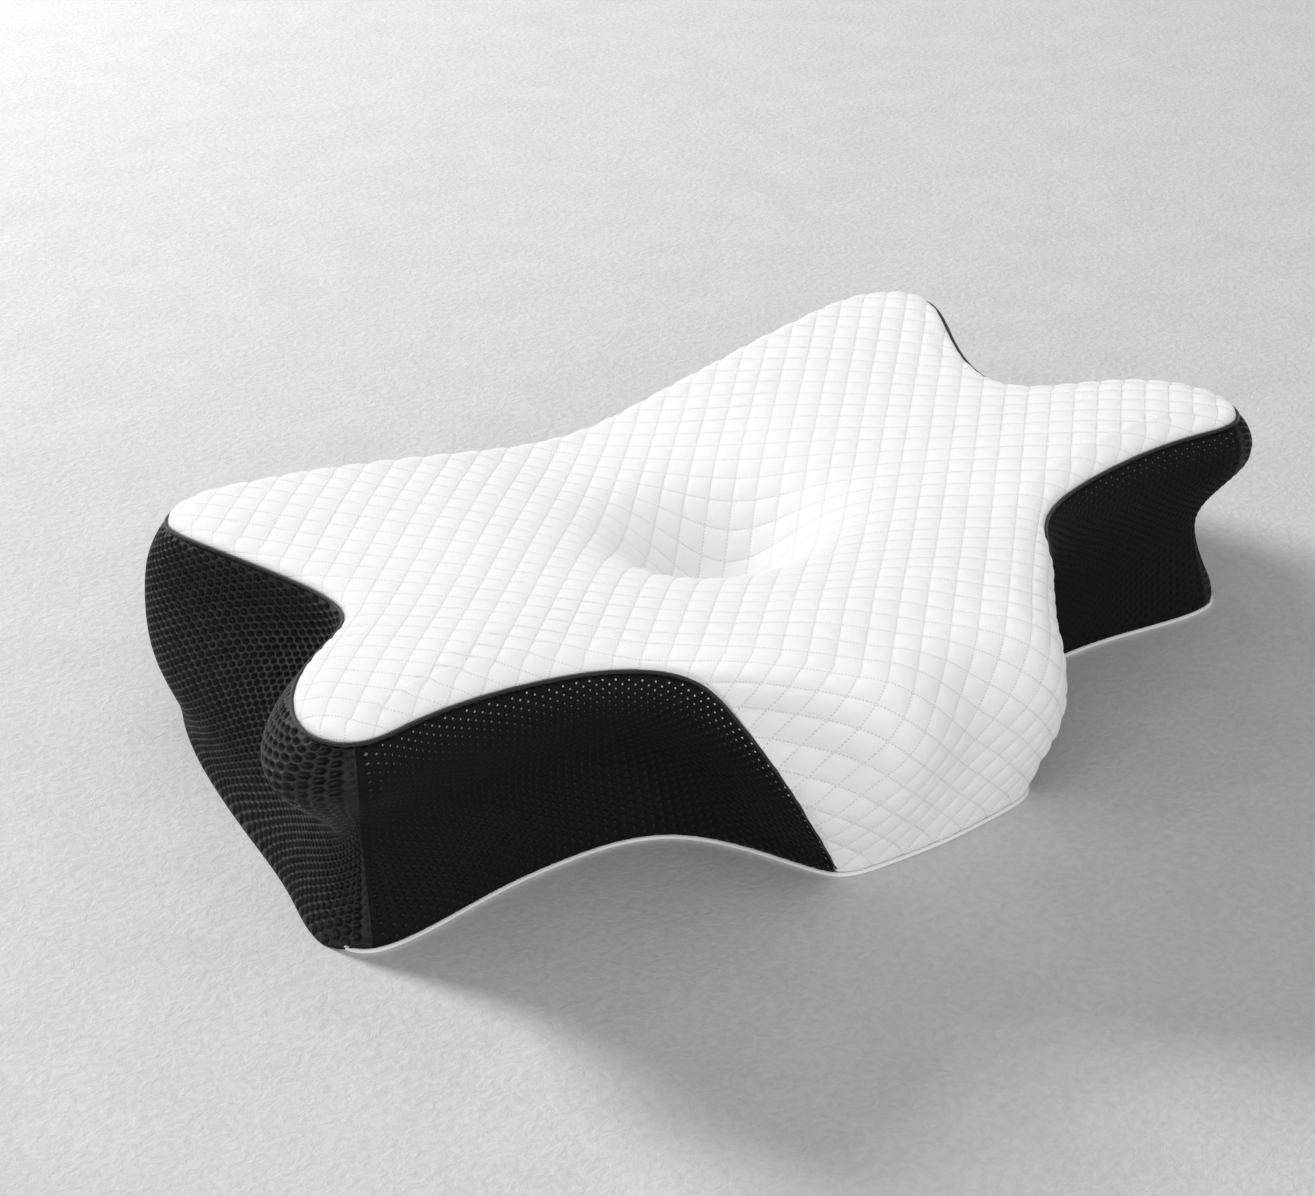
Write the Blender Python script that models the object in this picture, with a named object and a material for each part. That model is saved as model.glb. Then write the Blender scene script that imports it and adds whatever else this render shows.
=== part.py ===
"""Butterfly-shaped contoured neck pillow: foam core, inner liner and a sewn cover with a rear zip.

Metres, +Z up. +X runs along the pillow's length, -Y is the neck side and +Y the back with the zip.
The origin is on the ground, under the middle of the pillow's box.

The whole outer skin is one surface, skin(c, s). The loop position c counts stations round the outline
from the middle of the neck side (0), by way of +X, to the middle of the back (15) and round to 30.
The level s climbs the side wall from its foot (0) by the waist (1), the shoulder (2) and the rim
seam (3) to the rolled edge (4), and then crosses the top, ring by ring, to the pole in the head cradle.
Every layer is a patch of this surface, set in by its own depth along the surface normal.
"""

import math

import bpy
import numpy as np

MM = 0.001
SHARP_ANGLE = math.radians(40)
NUDGE = 0.01  # step in c and s for taking directions on the skin

# Half outline in millimetres. Foot is where the side wall stands, rim is where the top is sewn on.
# Waist and bulge push the wall out (+) or in (-) at mid height and under the rim; drop is how far the
# rim seam lies below the rolled edge.
STATIONS = (
    # foot x, foot y, rim x, rim y, waist, bulge, drop
    (0, -173, 0, -179, 8, 12, 9),  # middle of the neck side
    (36, -171, 44, -183, 10, 11, 9),
    (60, -166, 74, -156, 14, 8, 8),  # corner of the neck lobe
    (76, -142, 102, -126, 8, 4, 7),
    (111, -90, 132, -94, -4, 3, 6),
    (170, -77, 172, -80, -7, 3, 8),  # shoulder recess
    (233, -83, 249, -83, -12, 4, 8),
    (278, -84, 281, -85, -15, 7, 6),  # front wing
    (290, -65, 294, -66, -16, 14, 7),
    (284, -23, 273, -19, -8, 12, 6),
    (276, 37, 222, 31, 10, 8, 5),  # end notch
    (268, 95, 235, 99, 20, 9, 4),
    (252, 151, 254, 155, 14, 12, 6),  # back wing
    (228, 184, 232, 181, 4, 8, 10),
    (176, 189, 176, 183, 2, 6, 12),
    (0, 189, 0, 175, 3, 6, 12),  # middle of the back
)
CHORD_POWER = 0.7  # how strongly the spacing of the stations stretches the outline's spline
FOOT_Z = 0.0055
WAIST_LEVEL = 0.45  # height of the waist and of the shoulder as a share of the rim's height
SHOULDER_LEVEL = 0.78
SHOULDER_BULGE = 0.9
ROLL_WIDTH = 0.014  # from the rim seam in to the crest of the rolled edge

# The top's height: a level cushion with raised wings, a neck roll, a trough and a head cradle.
TOP_Z = 0.113
WING_START_X, WING_FULL_X = 0.092, 0.259
FRONT_WING_RISE, FRONT_WING_Y, FRONT_WING_SPAN = 0.013, -0.050, 0.066
BACK_WING_RISE, BACK_WING_Y, BACK_WING_SPAN = 0.008, 0.152, 0.050
NECK_ROLL_RISE, NECK_ROLL_Y, NECK_ROLL_SPAN, NECK_ROLL_HALF = 0.0065, -0.118, 0.034, 0.110
TROUGH_DEPTH, TROUGH_HALF, TROUGH_Y, TROUGH_SPAN = 0.021, 0.095, 0.035, 0.087
CRADLE_DEPTH, CRADLE_HALF, CRADLE_Y, CRADLE_SPAN = 0.046, 0.045, 0.020, 0.041

# Levels of the rings that cross the top, as shares of the way from the rolled edge to the pole.
TOP_RINGS = (0.10, 0.30, 0.50, 0.66, 0.78, 0.88, 0.95)
TOP_START_S = 5.0
POLE_CIRCLE, EVEN_SHARE = 0.16, 0.90  # the rings turn into even circles on the way to the pole
WALL_LEVELS = (0.0, 0.75, 1.5, 2.25, 3.0)
SIDE_ROWS = 5
TOP_FIRST_S = 3.5

# The rim seam leaves the base at the lobe's corner and climbs the flank to the rim.
SEAM_FOOT_C, SEAM_TOP_C, SEAM_STEEPNESS = 2.2, 4.0, 2.6
SEAM_S = 3.0
LOOP = 2 * (len(STATIONS) - 1)
FRONT_CORNER_C, BACK_CORNER_C, ZIP_CORNER_C = 7.0, 13.0, 14.0

# Layers, measured in from the outer skin.
COVER_THICKNESS = 0.0024
LINER_DEPTH, LINER_THICKNESS = 0.0039, 0.0008
GAP = 0.0003
FOAM_DEPTH = LINER_DEPTH + LINER_THICKNESS + GAP
SEAM_ALLOWANCE = 0.00135  # from the seam line to the edge of each panel
BUTT_GAP = 0.0008
SEAM_CORD_RADIUS, SEAM_CORD_SIDES = 0.001, 6
SEAM_CORD_DEPTH = 0.0002

# The bottom: a base panel inside a piping that the pillow stands on, then the liner and the foam.
PIPING_PROFILE = ((-2.6, 0), (-0.2, 0), (0.6, 0.9), (0.6, 3.6), (-0.2, 4.6), (-2.6, 4.6))
BASE_INSET, BASE_TOP = 0.0031, 0.0022
LINER_BASE_BOTTOM, LINER_BASE_TOP = 0.0025, 0.0033
FOAM_BOTTOM, FOAM_BOTTOM_INSET = 0.0037, 0.0075

# The zip lies level in the back wall, closed towards +X.
ZIP_Z = 0.0185
TAPE_HALF_LENGTH, TAPE_WIDTH, TAPE_INNER_Y, TAPE_THICKNESS = 0.168, 0.0116, 0.1877, 0.0008
CHAIN_GAP = 0.0016
CHAIN_WIDTH, CHAIN_THICKNESS = 0.0016, 0.0016
CHAIN_INNER_Y = TAPE_INNER_Y + TAPE_THICKNESS + GAP
ZIP_WINDOW_TOP = 0.0315
SLIDER_X, SLIDER_LENGTH, SLIDER_WIDTH, SLIDER_NOSE_WIDTH = 0.1510, 0.0110, 0.0084, 0.0056
PLATE = 0.0010
SLIDER_FACE_Y = CHAIN_INNER_Y + CHAIN_THICKNESS + GAP + PLATE
SLIDER_BACK_Y = TAPE_INNER_Y - GAP - PLATE
NOSE_CHAMFER = 0.0014
SUNK = 0.0003  # how far the slider's pieces run into each other where they are joined
POST_X, POST_LENGTH, POST_WIDTH = 0.0022, 0.0030, 0.0009
BRIDGE_HALF, BRIDGE_LEG, BRIDGE_WIDTH, BRIDGE_RISE = 0.0022, 0.0008, 0.0020, 0.0020
PULL_AXIS_RISE, PULL_THICKNESS = 0.00095, 0.0011
PULL_WINDOW, PULL_ARM, PULL_LENGTH, PULL_END_RADIUS = 0.0040, 0.0014, 0.0220, 0.0036
PULL_WINDOW_HALF, PULL_END_SIDES = 0.00135, 8
STOP_LENGTH, STOP_X = 0.0022, 0.1572

WHITE_KNIT = (0.90, 0.90, 0.90)
LINER_KNIT = (0.80, 0.80, 0.80)
BLACK_MESH = (0.015, 0.015, 0.016)
FOAM_CREAM = (0.93, 0.90, 0.80)
BASE_WHITE = (0.82, 0.82, 0.83)
ZIP_GREY = (0.72, 0.72, 0.74)


def material(name, colour, roughness, metallic=0.0):
    """A Principled material in one plain colour."""
    made = bpy.data.materials.new(name)
    made.use_nodes = True
    shader = made.node_tree.nodes["Principled BSDF"]
    shader.inputs["Base Color"].default_value = (*colour, 1.0)
    shader.inputs["Roughness"].default_value = roughness
    shader.inputs["Metallic"].default_value = metallic
    return made


def add_object(name, points, faces, finish, origin=(0.0, 0.0, 0.0)):
    """A smooth-shaded mesh object whose own origin is set at a point of the pillow's frame."""
    mesh = bpy.data.meshes.new(name)
    local = np.asarray(points, float) - np.asarray(origin, float)
    mesh.from_pydata(local.tolist(), [], [list(face) for face in faces])
    mesh.update()
    mesh.shade_smooth()
    mesh.set_sharp_from_angle(angle=SHARP_ANGLE)
    mesh.materials.append(finish)
    made = bpy.data.objects.new(name, mesh)
    made.location = origin
    bpy.context.scene.collection.objects.link(made)
    return made


# ---------------------------------------------------------------- the outer skin


def bell(x):
    return np.exp(-x * x)


def smooth_step(x):
    x = np.clip(x, 0.0, 1.0)
    return x * x * (3.0 - 2.0 * x)


def top_height(x, y):
    """Height of the pillow's top over a point of the plan."""
    wings = smooth_step((np.abs(x) - WING_START_X) / (WING_FULL_X - WING_START_X))
    rise = FRONT_WING_RISE * bell((y - FRONT_WING_Y) / FRONT_WING_SPAN)
    rise = rise + BACK_WING_RISE * bell((y - BACK_WING_Y) / BACK_WING_SPAN)
    roll = NECK_ROLL_RISE * bell(x / NECK_ROLL_HALF) * bell((y - NECK_ROLL_Y) / NECK_ROLL_SPAN)
    open_back = np.where(y < TROUGH_Y, bell((y - TROUGH_Y) / TROUGH_SPAN), 1.0)
    trough = TROUGH_DEPTH * bell(x / TROUGH_HALF) * open_back
    cradle = CRADLE_DEPTH * bell(x / CRADLE_HALF) * bell((y - CRADLE_Y) / CRADLE_SPAN)
    return TOP_Z + wings * rise + roll - trough - cradle


def full_loop():
    """All stations round the pillow, the -X half being the mirror of the +X half."""
    half = np.array(STATIONS, float)
    mirrored = half[-2:0:-1].copy()
    mirrored[:, [0, 2]] *= -1.0
    return np.vstack([half, mirrored]) * MM


def second_derivatives(steps, values):
    """Second derivatives at the knots of the closed cubic spline through the values."""
    count = len(values)
    system = np.zeros((count, count))
    right = np.zeros_like(values)
    for i in range(count):
        before, after = steps[i - 1], steps[i]
        following = (i + 1) % count
        system[i, i - 1] += before
        system[i, i] += 2.0 * (before + after)
        system[i, following] += after
        rise_after = (values[following] - values[i]) / after
        rise_before = (values[i] - values[i - 1]) / before
        right[i] = 6.0 * (rise_after - rise_before)
    return np.linalg.solve(system, right)


LOOP_VALUES = full_loop()
RIM_CHORDS = np.linalg.norm(np.roll(LOOP_VALUES[:, 2:4], -1, axis=0) - LOOP_VALUES[:, 2:4], axis=1)
LOOP_STEPS = RIM_CHORDS**CHORD_POWER
LOOP_CURVES = second_derivatives(LOOP_STEPS, LOOP_VALUES)


def outline(c):
    """The station values at loop positions c, on the closed spline through the stations."""
    c = np.mod(np.asarray(c, float), LOOP)
    i = np.minimum(c.astype(int), LOOP - 1)
    j = (i + 1) % LOOP
    step = LOOP_STEPS[i][..., None]
    b = (c - i)[..., None] * step
    a = step - b
    bend = (LOOP_CURVES[i] * a**3 + LOOP_CURVES[j] * b**3) / (6.0 * step)
    here = (LOOP_VALUES[i] / step - LOOP_CURVES[i] * step / 6.0) * a
    there = (LOOP_VALUES[j] / step - LOOP_CURVES[j] * step / 6.0) * b
    return bend + here + there


def plan_normal(c, first_column):
    """Outward unit normal, in plan, of the foot outline (column 0) or the rim outline (column 2)."""
    ahead = outline(c + NUDGE)[..., first_column : first_column + 2]
    behind = outline(c - NUDGE)[..., first_column : first_column + 2]
    along = ahead - behind
    along /= np.linalg.norm(along, axis=-1, keepdims=True)
    return np.stack([along[..., 1], -along[..., 0]], axis=-1)


def top_plan(c, share, roll):
    """Plan points a share of the way from the rolled edge to the pole."""
    pole = np.array([0.0, CRADLE_Y])
    straight = roll + (pole - roll) * share
    turn = math.tau * (c / LOOP - 0.25)
    spoke = np.stack([np.cos(turn), np.sin(turn)], axis=-1)
    even = pole + POLE_CIRCLE * (1.0 - share) * spoke
    evenness = smooth_step((share - TOP_RINGS[0]) / (EVEN_SHARE - TOP_RINGS[0]))
    return straight + (even - straight) * evenness


def level_points(c):
    """The control points of the side profile at c: foot, waist, shoulder, rim seam, roll and top."""
    values = outline(c)
    foot, rim = values[..., 0:2], values[..., 2:4]
    waist, bulge, drop = values[..., 4:5], values[..., 5:6], values[..., 6]
    out = plan_normal(c, 2)
    roll = rim - out * ROLL_WIDTH
    roll_z = top_height(roll[..., 0], roll[..., 1])
    seam_z = roll_z - drop
    mid = (1.0 - WAIST_LEVEL) * foot + WAIST_LEVEL * rim + out * waist
    first = top_plan(c, TOP_RINGS[0], roll)

    def at(plan, height):
        return np.concatenate([plan, np.broadcast_to(height, plan.shape[:-1])[..., None]], axis=-1)

    return [
        at(foot, FOOT_Z),
        at(mid, WAIST_LEVEL * seam_z),
        at(rim + out * bulge * SHOULDER_BULGE, SHOULDER_LEVEL * seam_z),
        at(rim, seam_z),
        at(roll, roll_z),
        at(first, top_height(first[..., 0], first[..., 1])),
    ]


def skin(c, s):
    """Points of the outer skin at loop positions c and levels s."""
    c, s = np.broadcast_arrays(np.asarray(c, float), np.asarray(s, float))
    levels = level_points(c)
    levels = [2.0 * levels[0] - levels[1], *levels, 2.0 * levels[-1] - levels[-2]]
    stack = np.stack(levels)
    side = np.clip(s, 0.0, TOP_START_S - 1e-9)
    i = side.astype(int)
    u = (side - i)[..., None]
    before, here, there, after = (
        np.take_along_axis(stack, (i + k)[None, ..., None], axis=0)[0] for k in range(4)
    )
    cubic = 3.0 * here - before - 3.0 * there + after
    square = 2.0 * before - 5.0 * here + 4.0 * there - after
    wall = 0.5 * (2.0 * here + (there - before) * u + square * u**2 + cubic * u**3)
    share = np.interp(s, TOP_START_S + np.arange(len(TOP_RINGS) + 1), (*TOP_RINGS, 1.0))
    plan = top_plan(c, share[..., None], levels[5][..., 0:2])
    top = np.concatenate([plan, top_height(plan[..., 0], plan[..., 1])[..., None]], axis=-1)
    return np.where((s < TOP_START_S)[..., None], wall, top)


def skin_normal(c, s):
    """Outward unit normals of the skin."""
    s = np.asarray(s, float)
    low, high = np.maximum(s - NUDGE, 0.0), s + NUDGE
    along = skin(c + NUDGE, s) - skin(c - NUDGE, s)
    up = skin(c, high) - skin(c, low)
    normal = np.cross(along, up)
    return normal / np.linalg.norm(normal, axis=-1, keepdims=True)


def inside(c, s, depth):
    """Points at a depth under the skin."""
    return skin(c, s) - skin_normal(c, s) * depth


def seam_level(c):
    """Level of the seam between the white top and the black sides, 0 where there is none."""
    c = np.minimum(np.mod(c, LOOP), LOOP - np.mod(c, LOOP))
    share = np.clip((c - SEAM_FOOT_C) / (SEAM_TOP_C - SEAM_FOOT_C), 0.0, 1.0)
    return SEAM_S * (1.0 - (1.0 - share) ** SEAM_STEEPNESS)


def seam_edge(c, distance):
    """Loop positions and levels of points a distance above (+) or below (-) the seam, square to it."""
    here = seam_level(c)
    ahead, behind = c + NUDGE, c - NUDGE
    tangent = skin(ahead, seam_level(ahead)) - skin(behind, seam_level(behind))
    square = np.cross(skin_normal(c, here), tangent)
    square *= distance / np.linalg.norm(square, axis=-1, keepdims=True)
    low, high = np.maximum(here - NUDGE, 0.0), here + NUDGE
    along = (skin(ahead, here) - skin(behind, here)) / (2.0 * NUDGE)
    climb = (skin(c, high) - skin(c, low)) / (high - low)[..., None]
    aa, ab, bb = (np.sum(p * q, axis=-1) for p, q in ((along, along), (along, climb), (climb, climb)))
    pa, pb = np.sum(along * square, axis=-1), np.sum(climb * square, axis=-1)
    scale = aa * bb - ab * ab
    return c + (pa * bb - pb * ab) / scale, np.maximum(here + (pb * aa - pa * ab) / scale, 0.0)


def level_at_height(c, height):
    """Level at which the side wall reaches a height."""
    levels = np.linspace(0.0, SEAM_S, 61)
    heights = skin(np.full_like(levels, c), levels)[:, 2]
    return float(np.interp(height, heights, levels))


# ---------------------------------------------------------------- solids from patches


def flank_columns():
    """Loop positions up the lobe's flank, closest together where the seam is steepest."""
    return SEAM_FOOT_C + (SEAM_TOP_C - SEAM_FOOT_C) * np.linspace(0.0, 1.0, 9) ** 2


def half_columns():
    """Loop positions of the facets over the +X half."""
    lobe = np.linspace(0.0, SEAM_FOOT_C, 4)
    flank = flank_columns()
    front = np.linspace(SEAM_TOP_C, FRONT_CORNER_C, 7)
    end = np.linspace(FRONT_CORNER_C, BACK_CORNER_C, 13)
    back = np.linspace(BACK_CORNER_C, LOOP / 2, 5)
    return np.concatenate([lobe, flank[1:], front[1:], end[1:], back[1:]])


def all_columns():
    half = half_columns()
    return np.concatenate([half, LOOP - half[-2:0:-1]])


def bridge(first, second, closed, mirrored=0):
    """Triangles between two rows of vertex numbers; the second row may have half as many.

    The diagonals run the same way in every layer, so that neighbouring layers stay parallel. Those of
    the first columns, as many as are named mirrored, run the other way.
    """
    faces = []
    count = len(first)
    if len(second) == count:
        for i in range(count if closed else count - 1):
            j = (i + 1) % count
            if i < mirrored:
                faces += [(first[i], first[j], second[i]), (first[j], second[j], second[i])]
            else:
                faces += [(first[i], first[j], second[j]), (first[i], second[j], second[i])]
        return faces
    for k in range(count // 2):
        a, b, d = first[2 * k], first[2 * k + 1], first[(2 * k + 2) % count]
        e, f = second[k], second[(k + 1) % len(second)]
        faces += [(a, b, e), (b, f, e), (b, d, f)]
    return faces


def strip_solid(name, c, s, finish, outer=0.0, inner=COVER_THICKNESS):
    """An open panel of the cover: rows of c and s, from the lowest level up."""
    rows, columns = s.shape
    faces = []
    points = []
    for depth in (outer, inner):
        points.append(inside(c, s, depth).reshape(-1, 3))
    size = rows * columns
    mirrored = int(np.sum(c[0, :-1] < LOOP / 2 - 0.1))
    front = np.arange(size).reshape(rows, columns)
    rear = front + size
    for i in range(rows - 1):
        faces += bridge(front[i], front[i + 1], False, mirrored)
        faces += [face[::-1] for face in bridge(rear[i], rear[i + 1], False, mirrored)]
    edge = [*front[0], *front[1:, -1], *front[-1, -2::-1], *front[-2:0:-1, 0]]
    for i, a in enumerate(edge):
        b = edge[(i + 1) % len(edge)]
        faces.append((b, a, a + size, b + size))
    return add_object(name, np.concatenate(points), faces, finish)


def top_rows(columns):
    """Rows of loop positions and levels over the top, thinned out towards the pole."""
    rows = []
    for level in (TOP_FIRST_S, 4.0, *TOP_START_S + np.arange(3)):
        rows.append((columns, np.full(len(columns), level)))
    for level in TOP_START_S + np.arange(3, len(TOP_RINGS)):
        rows.append((columns[::2], np.full(len(columns) // 2, level)))
    return rows


def dome_faces(rows, start):
    """Vertex numbers and faces of closed rows that end in a fan at the pole."""
    numbers = []
    for c, _ in rows:
        numbers.append(np.arange(start, start + len(c)))
        start += len(c)
    faces = []
    for low, high in zip(numbers[:-1], numbers[1:]):
        faces += bridge(low, high, True, len(low) // 2)
    last = numbers[-1]
    for i, a in enumerate(last):
        faces.append((a, last[(i + 1) % len(last)], start))
    return numbers[0], faces, start + 1


def dome_points(rows, depth):
    points = [inside(c, s, depth) for c, s in rows]
    pole = np.array([[0.0, CRADLE_Y, float(top_height(0.0, CRADLE_Y)) - depth]])
    return np.concatenate([*points, pole])


def dome_solid(name, rows, finish, outer, inner):
    """A bowl that covers the top down to its lowest row, open underneath."""
    edge, faces, count = dome_faces(rows, 0)
    hidden, inner_faces, _ = dome_faces(rows, count)
    faces += [face[::-1] for face in inner_faces]
    for i, a in enumerate(edge):
        j = (i + 1) % len(edge)
        faces.append((edge[j], a, hidden[i], hidden[j]))
    points = np.concatenate([dome_points(rows, outer), dome_points(rows, inner)])
    return add_object(name, points, faces, finish)


def body_rows(columns):
    """Rows from the foot of the side wall up and over the top, for the pieces inside the cover."""
    return [(columns, np.full(len(columns), level)) for level in WALL_LEVELS] + top_rows(columns)


def foot_ring(columns, inset, height):
    """The foot outline, drawn in by an inset, at a height."""
    plan = outline(columns)[:, 0:2] - plan_normal(columns, 0) * inset
    return np.concatenate([plan, np.full((len(columns), 1), height)], axis=1)


def plate_solid(name, columns, inset, low, high, finish):
    """A flat plate with the outline of the pillow's foot."""
    count = len(columns)
    points = np.concatenate([foot_ring(columns, inset, low), foot_ring(columns, inset, high)])
    under, over = np.arange(count), np.arange(count) + count
    faces = [tuple(under[::-1]), tuple(over), *bridge(under, over, True)]
    return add_object(name, points, faces, finish)


# ---------------------------------------------------------------- the pillow's pieces


def make_foam_core(columns, finish):
    rows = body_rows(columns)
    edge, faces, count = dome_faces(rows, 0)
    bottom = np.arange(count, count + len(columns))
    faces += bridge(bottom, edge, True)
    faces.append(tuple(bottom[::-1]))
    points = [dome_points(rows, FOAM_DEPTH), foot_ring(columns, FOAM_BOTTOM_INSET, FOAM_BOTTOM)]
    return add_object("foam_core", np.concatenate(points), faces, finish)


def make_liner(columns, finish):
    dome_solid("liner_top", body_rows(columns), finish, LINER_DEPTH, LINER_DEPTH + LINER_THICKNESS)
    plate_solid("liner_base", columns, BASE_INSET, LINER_BASE_BOTTOM, LINER_BASE_TOP, finish)


def make_quilted_top(columns, finish):
    """The white panel: the whole top, and the apron down the neck lobe between the seam's feet."""
    sewn = (columns >= SEAM_FOOT_C) & (columns <= LOOP - SEAM_FOOT_C)
    edge_c, edge_s = seam_edge(columns, SEAM_ALLOWANCE)
    lowest_c = np.where(sewn, edge_c, columns)
    lowest_s = np.where(sewn, edge_s, 0.0)
    rows = []
    for level in WALL_LEVELS:
        share = level / TOP_FIRST_S
        rows.append((lowest_c + (columns - lowest_c) * share, lowest_s + (TOP_FIRST_S - lowest_s) * share))
    rows += top_rows(columns)
    dome_solid("quilted_top_panel", rows, finish, 0.0, COVER_THICKNESS)


def side_panel(name, columns, finish, foot=None):
    """A black mesh panel from its foot up to the rim seam."""
    shares = np.linspace(0.0, 1.0, SIDE_ROWS)[:, None]
    foot = np.zeros(len(columns)) if foot is None else foot
    top_c, top_s = seam_edge(columns, -SEAM_ALLOWANCE)
    c = columns + (top_c - columns) * shares
    s = foot + (top_s - foot) * shares
    for edge, inwards in ((0, 1.0), (-1, -1.0)):
        ahead, behind = skin(c[:, edge] + NUDGE, s[:, edge]), skin(c[:, edge] - NUDGE, s[:, edge])
        speed = np.linalg.norm(ahead - behind, axis=1) / (2.0 * NUDGE)
        c[:, edge] += inwards * 0.5 * BUTT_GAP / speed
    return strip_solid(name, c, s, finish)


def between(columns, start, end):
    kept = columns[(columns > start + 0.05) & (columns < end - 0.05)]
    return np.concatenate([[start], kept, [end]])


def make_side_panels(columns, finish):
    """Five black panels. The front two run out to a blunt tip beside the lobe's corner."""
    tip = flank_columns()[2]
    side_panel("mesh_front_right", between(columns, tip, FRONT_CORNER_C), finish)
    side_panel("mesh_end_right", between(columns, FRONT_CORNER_C, BACK_CORNER_C), finish)
    side_panel("mesh_end_left", between(columns, LOOP - BACK_CORNER_C, LOOP - FRONT_CORNER_C), finish)
    side_panel("mesh_front_left", between(columns, LOOP - FRONT_CORNER_C, LOOP - tip), finish)
    rear = between(columns, BACK_CORNER_C, LOOP - BACK_CORNER_C)
    foot = np.zeros(len(rear))
    for i, c in enumerate(rear):
        if ZIP_CORNER_C <= c <= LOOP - ZIP_CORNER_C:
            foot[i] = level_at_height(c, ZIP_WINDOW_TOP)
    side_panel("mesh_rear", rear, finish, foot)


def ring_sweep(path, across, up, profile):
    """Points of a profile carried along a path, as one ring of points for each path point."""
    return [
        [point + a * right + b * high for a, b in profile]
        for point, right, high in zip(path, across, up)
    ]


def sweep_solid(name, rings, finish, closed):
    sides = len(rings[0])
    points = [point for ring in rings for point in ring]
    numbers = np.arange(len(points)).reshape(len(rings), sides)
    faces = []
    for i in range(len(rings) if closed else len(rings) - 1):
        faces += [face[::-1] for face in bridge(numbers[i], numbers[(i + 1) % len(rings)], True)]
    if not closed:
        faces += [tuple(numbers[0]), tuple(numbers[-1][::-1])]
    return add_object(name, points, faces, finish)


def make_seam_cord(columns, finish):
    """The thin black cord sewn into the seam round the white top."""
    path_c = columns[(columns >= SEAM_FOOT_C) & (columns <= LOOP - SEAM_FOOT_C)]
    level = seam_level(path_c)
    normal = skin_normal(path_c, level)
    path = skin(path_c, level) - normal * SEAM_CORD_DEPTH
    tangent = np.gradient(path, axis=0)
    across = np.cross(tangent, normal)
    across /= np.linalg.norm(across, axis=1, keepdims=True)
    turns = [math.tau * k / SEAM_CORD_SIDES for k in range(SEAM_CORD_SIDES)]
    profile = [(SEAM_CORD_RADIUS * math.cos(t), SEAM_CORD_RADIUS * math.sin(t)) for t in turns]
    sweep_solid("rim_seam_cord", ring_sweep(path, across, normal, profile), finish, False)


def make_base(columns, white, piping_white):
    plate_solid("base_panel", columns, BASE_INSET, 0.0, BASE_TOP, white)
    out = plan_normal(columns, 0)
    out = np.concatenate([out, np.zeros((len(columns), 1))], axis=1)
    up = np.tile([0.0, 0.0, 1.0], (len(columns), 1))
    profile = [(a * MM, b * MM) for a, b in PIPING_PROFILE]
    rings = ring_sweep(foot_ring(columns, 0.0, 0.0), out, up, profile)
    sweep_solid("base_piping", rings, piping_white, True)


# ---------------------------------------------------------------- the zip


def box_mesh(low, high):
    (x0, y0, z0), (x1, y1, z1) = low, high
    points = [(x, y, z) for z in (z0, z1) for x, y in ((x0, y0), (x1, y0), (x1, y1), (x0, y1))]
    faces = [(3, 2, 1, 0), (4, 5, 6, 7), (0, 1, 5, 4), (1, 2, 6, 5), (2, 3, 7, 6), (3, 0, 4, 7)]
    return points, faces


def box_object(name, low, high, finish, origin=(0.0, 0.0, 0.0)):
    points, faces = box_mesh(low, high)
    return add_object(name, points, faces, finish, origin)


def join_solids(base, others):
    """Unite overlapping solids into one body and drop the pieces it was made of."""
    for other in others:
        union = base.modifiers.new("union", "BOOLEAN")
        union.operation = "UNION"
        union.solver = "EXACT"
        union.object = other
    bpy.context.view_layer.update()
    evaluated = base.evaluated_get(bpy.context.evaluated_depsgraph_get())
    joined = bpy.data.meshes.new_from_object(evaluated)
    base.modifiers.clear()
    base.data = joined
    for other in others:
        bpy.data.objects.remove(other, do_unlink=True)


def extruded_outline(name, outline_xz, y_low, y_high, finish, origin):
    """A plate with an outline in X and Z and a thickness along Y."""
    count = len(outline_xz)
    points = [(x, y, z) for y in (y_low, y_high) for x, z in outline_xz]
    near, far = np.arange(count), np.arange(count) + count
    faces = [tuple(near), tuple(far[::-1])]
    faces += [face[::-1] for face in bridge(near, far, True)]
    return add_object(name, points, faces, finish, origin)


def make_zip_tapes(finish):
    for name, side in (("zip_tape_upper", 1.0), ("zip_tape_lower", -1.0)):
        inner = ZIP_Z + side * 0.5 * CHAIN_GAP
        outer = inner + side * TAPE_WIDTH
        low = (-TAPE_HALF_LENGTH, TAPE_INNER_Y, min(inner, outer))
        high = (TAPE_HALF_LENGTH, TAPE_INNER_Y + TAPE_THICKNESS, max(inner, outer))
        box_object(name, low, high, finish)


def make_zip_chains(finish):
    for name, side in (("zip_coil_upper", 1.0), ("zip_coil_lower", -1.0)):
        inner = ZIP_Z + side * 0.5 * CHAIN_GAP
        outer = inner + side * CHAIN_WIDTH
        x_end = STOP_X - GAP
        low = (-x_end, CHAIN_INNER_Y, min(inner, outer))
        high = (x_end, CHAIN_INNER_Y + CHAIN_THICKNESS, max(inner, outer))
        box_object(name, low, high, finish)


def make_zip_stops(finish):
    """Two small stops at the closed end and one that spans both chains at the other end."""
    reach = 0.5 * CHAIN_GAP + CHAIN_WIDTH
    y0, y1 = CHAIN_INNER_Y, CHAIN_INNER_Y + CHAIN_THICKNESS + GAP
    for name, side in (("zip_top_stop_upper", 1.0), ("zip_top_stop_lower", -1.0)):
        ends = sorted((ZIP_Z + side * 0.5 * CHAIN_GAP, ZIP_Z + side * reach))
        box_object(name, (STOP_X, y0, ends[0]), (STOP_X + STOP_LENGTH, y1, ends[1]), finish)
    low = (-STOP_X - STOP_LENGTH, y0, ZIP_Z - reach)
    box_object("zip_bottom_stop", low, (-STOP_X, y1, ZIP_Z + reach), finish)


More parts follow.
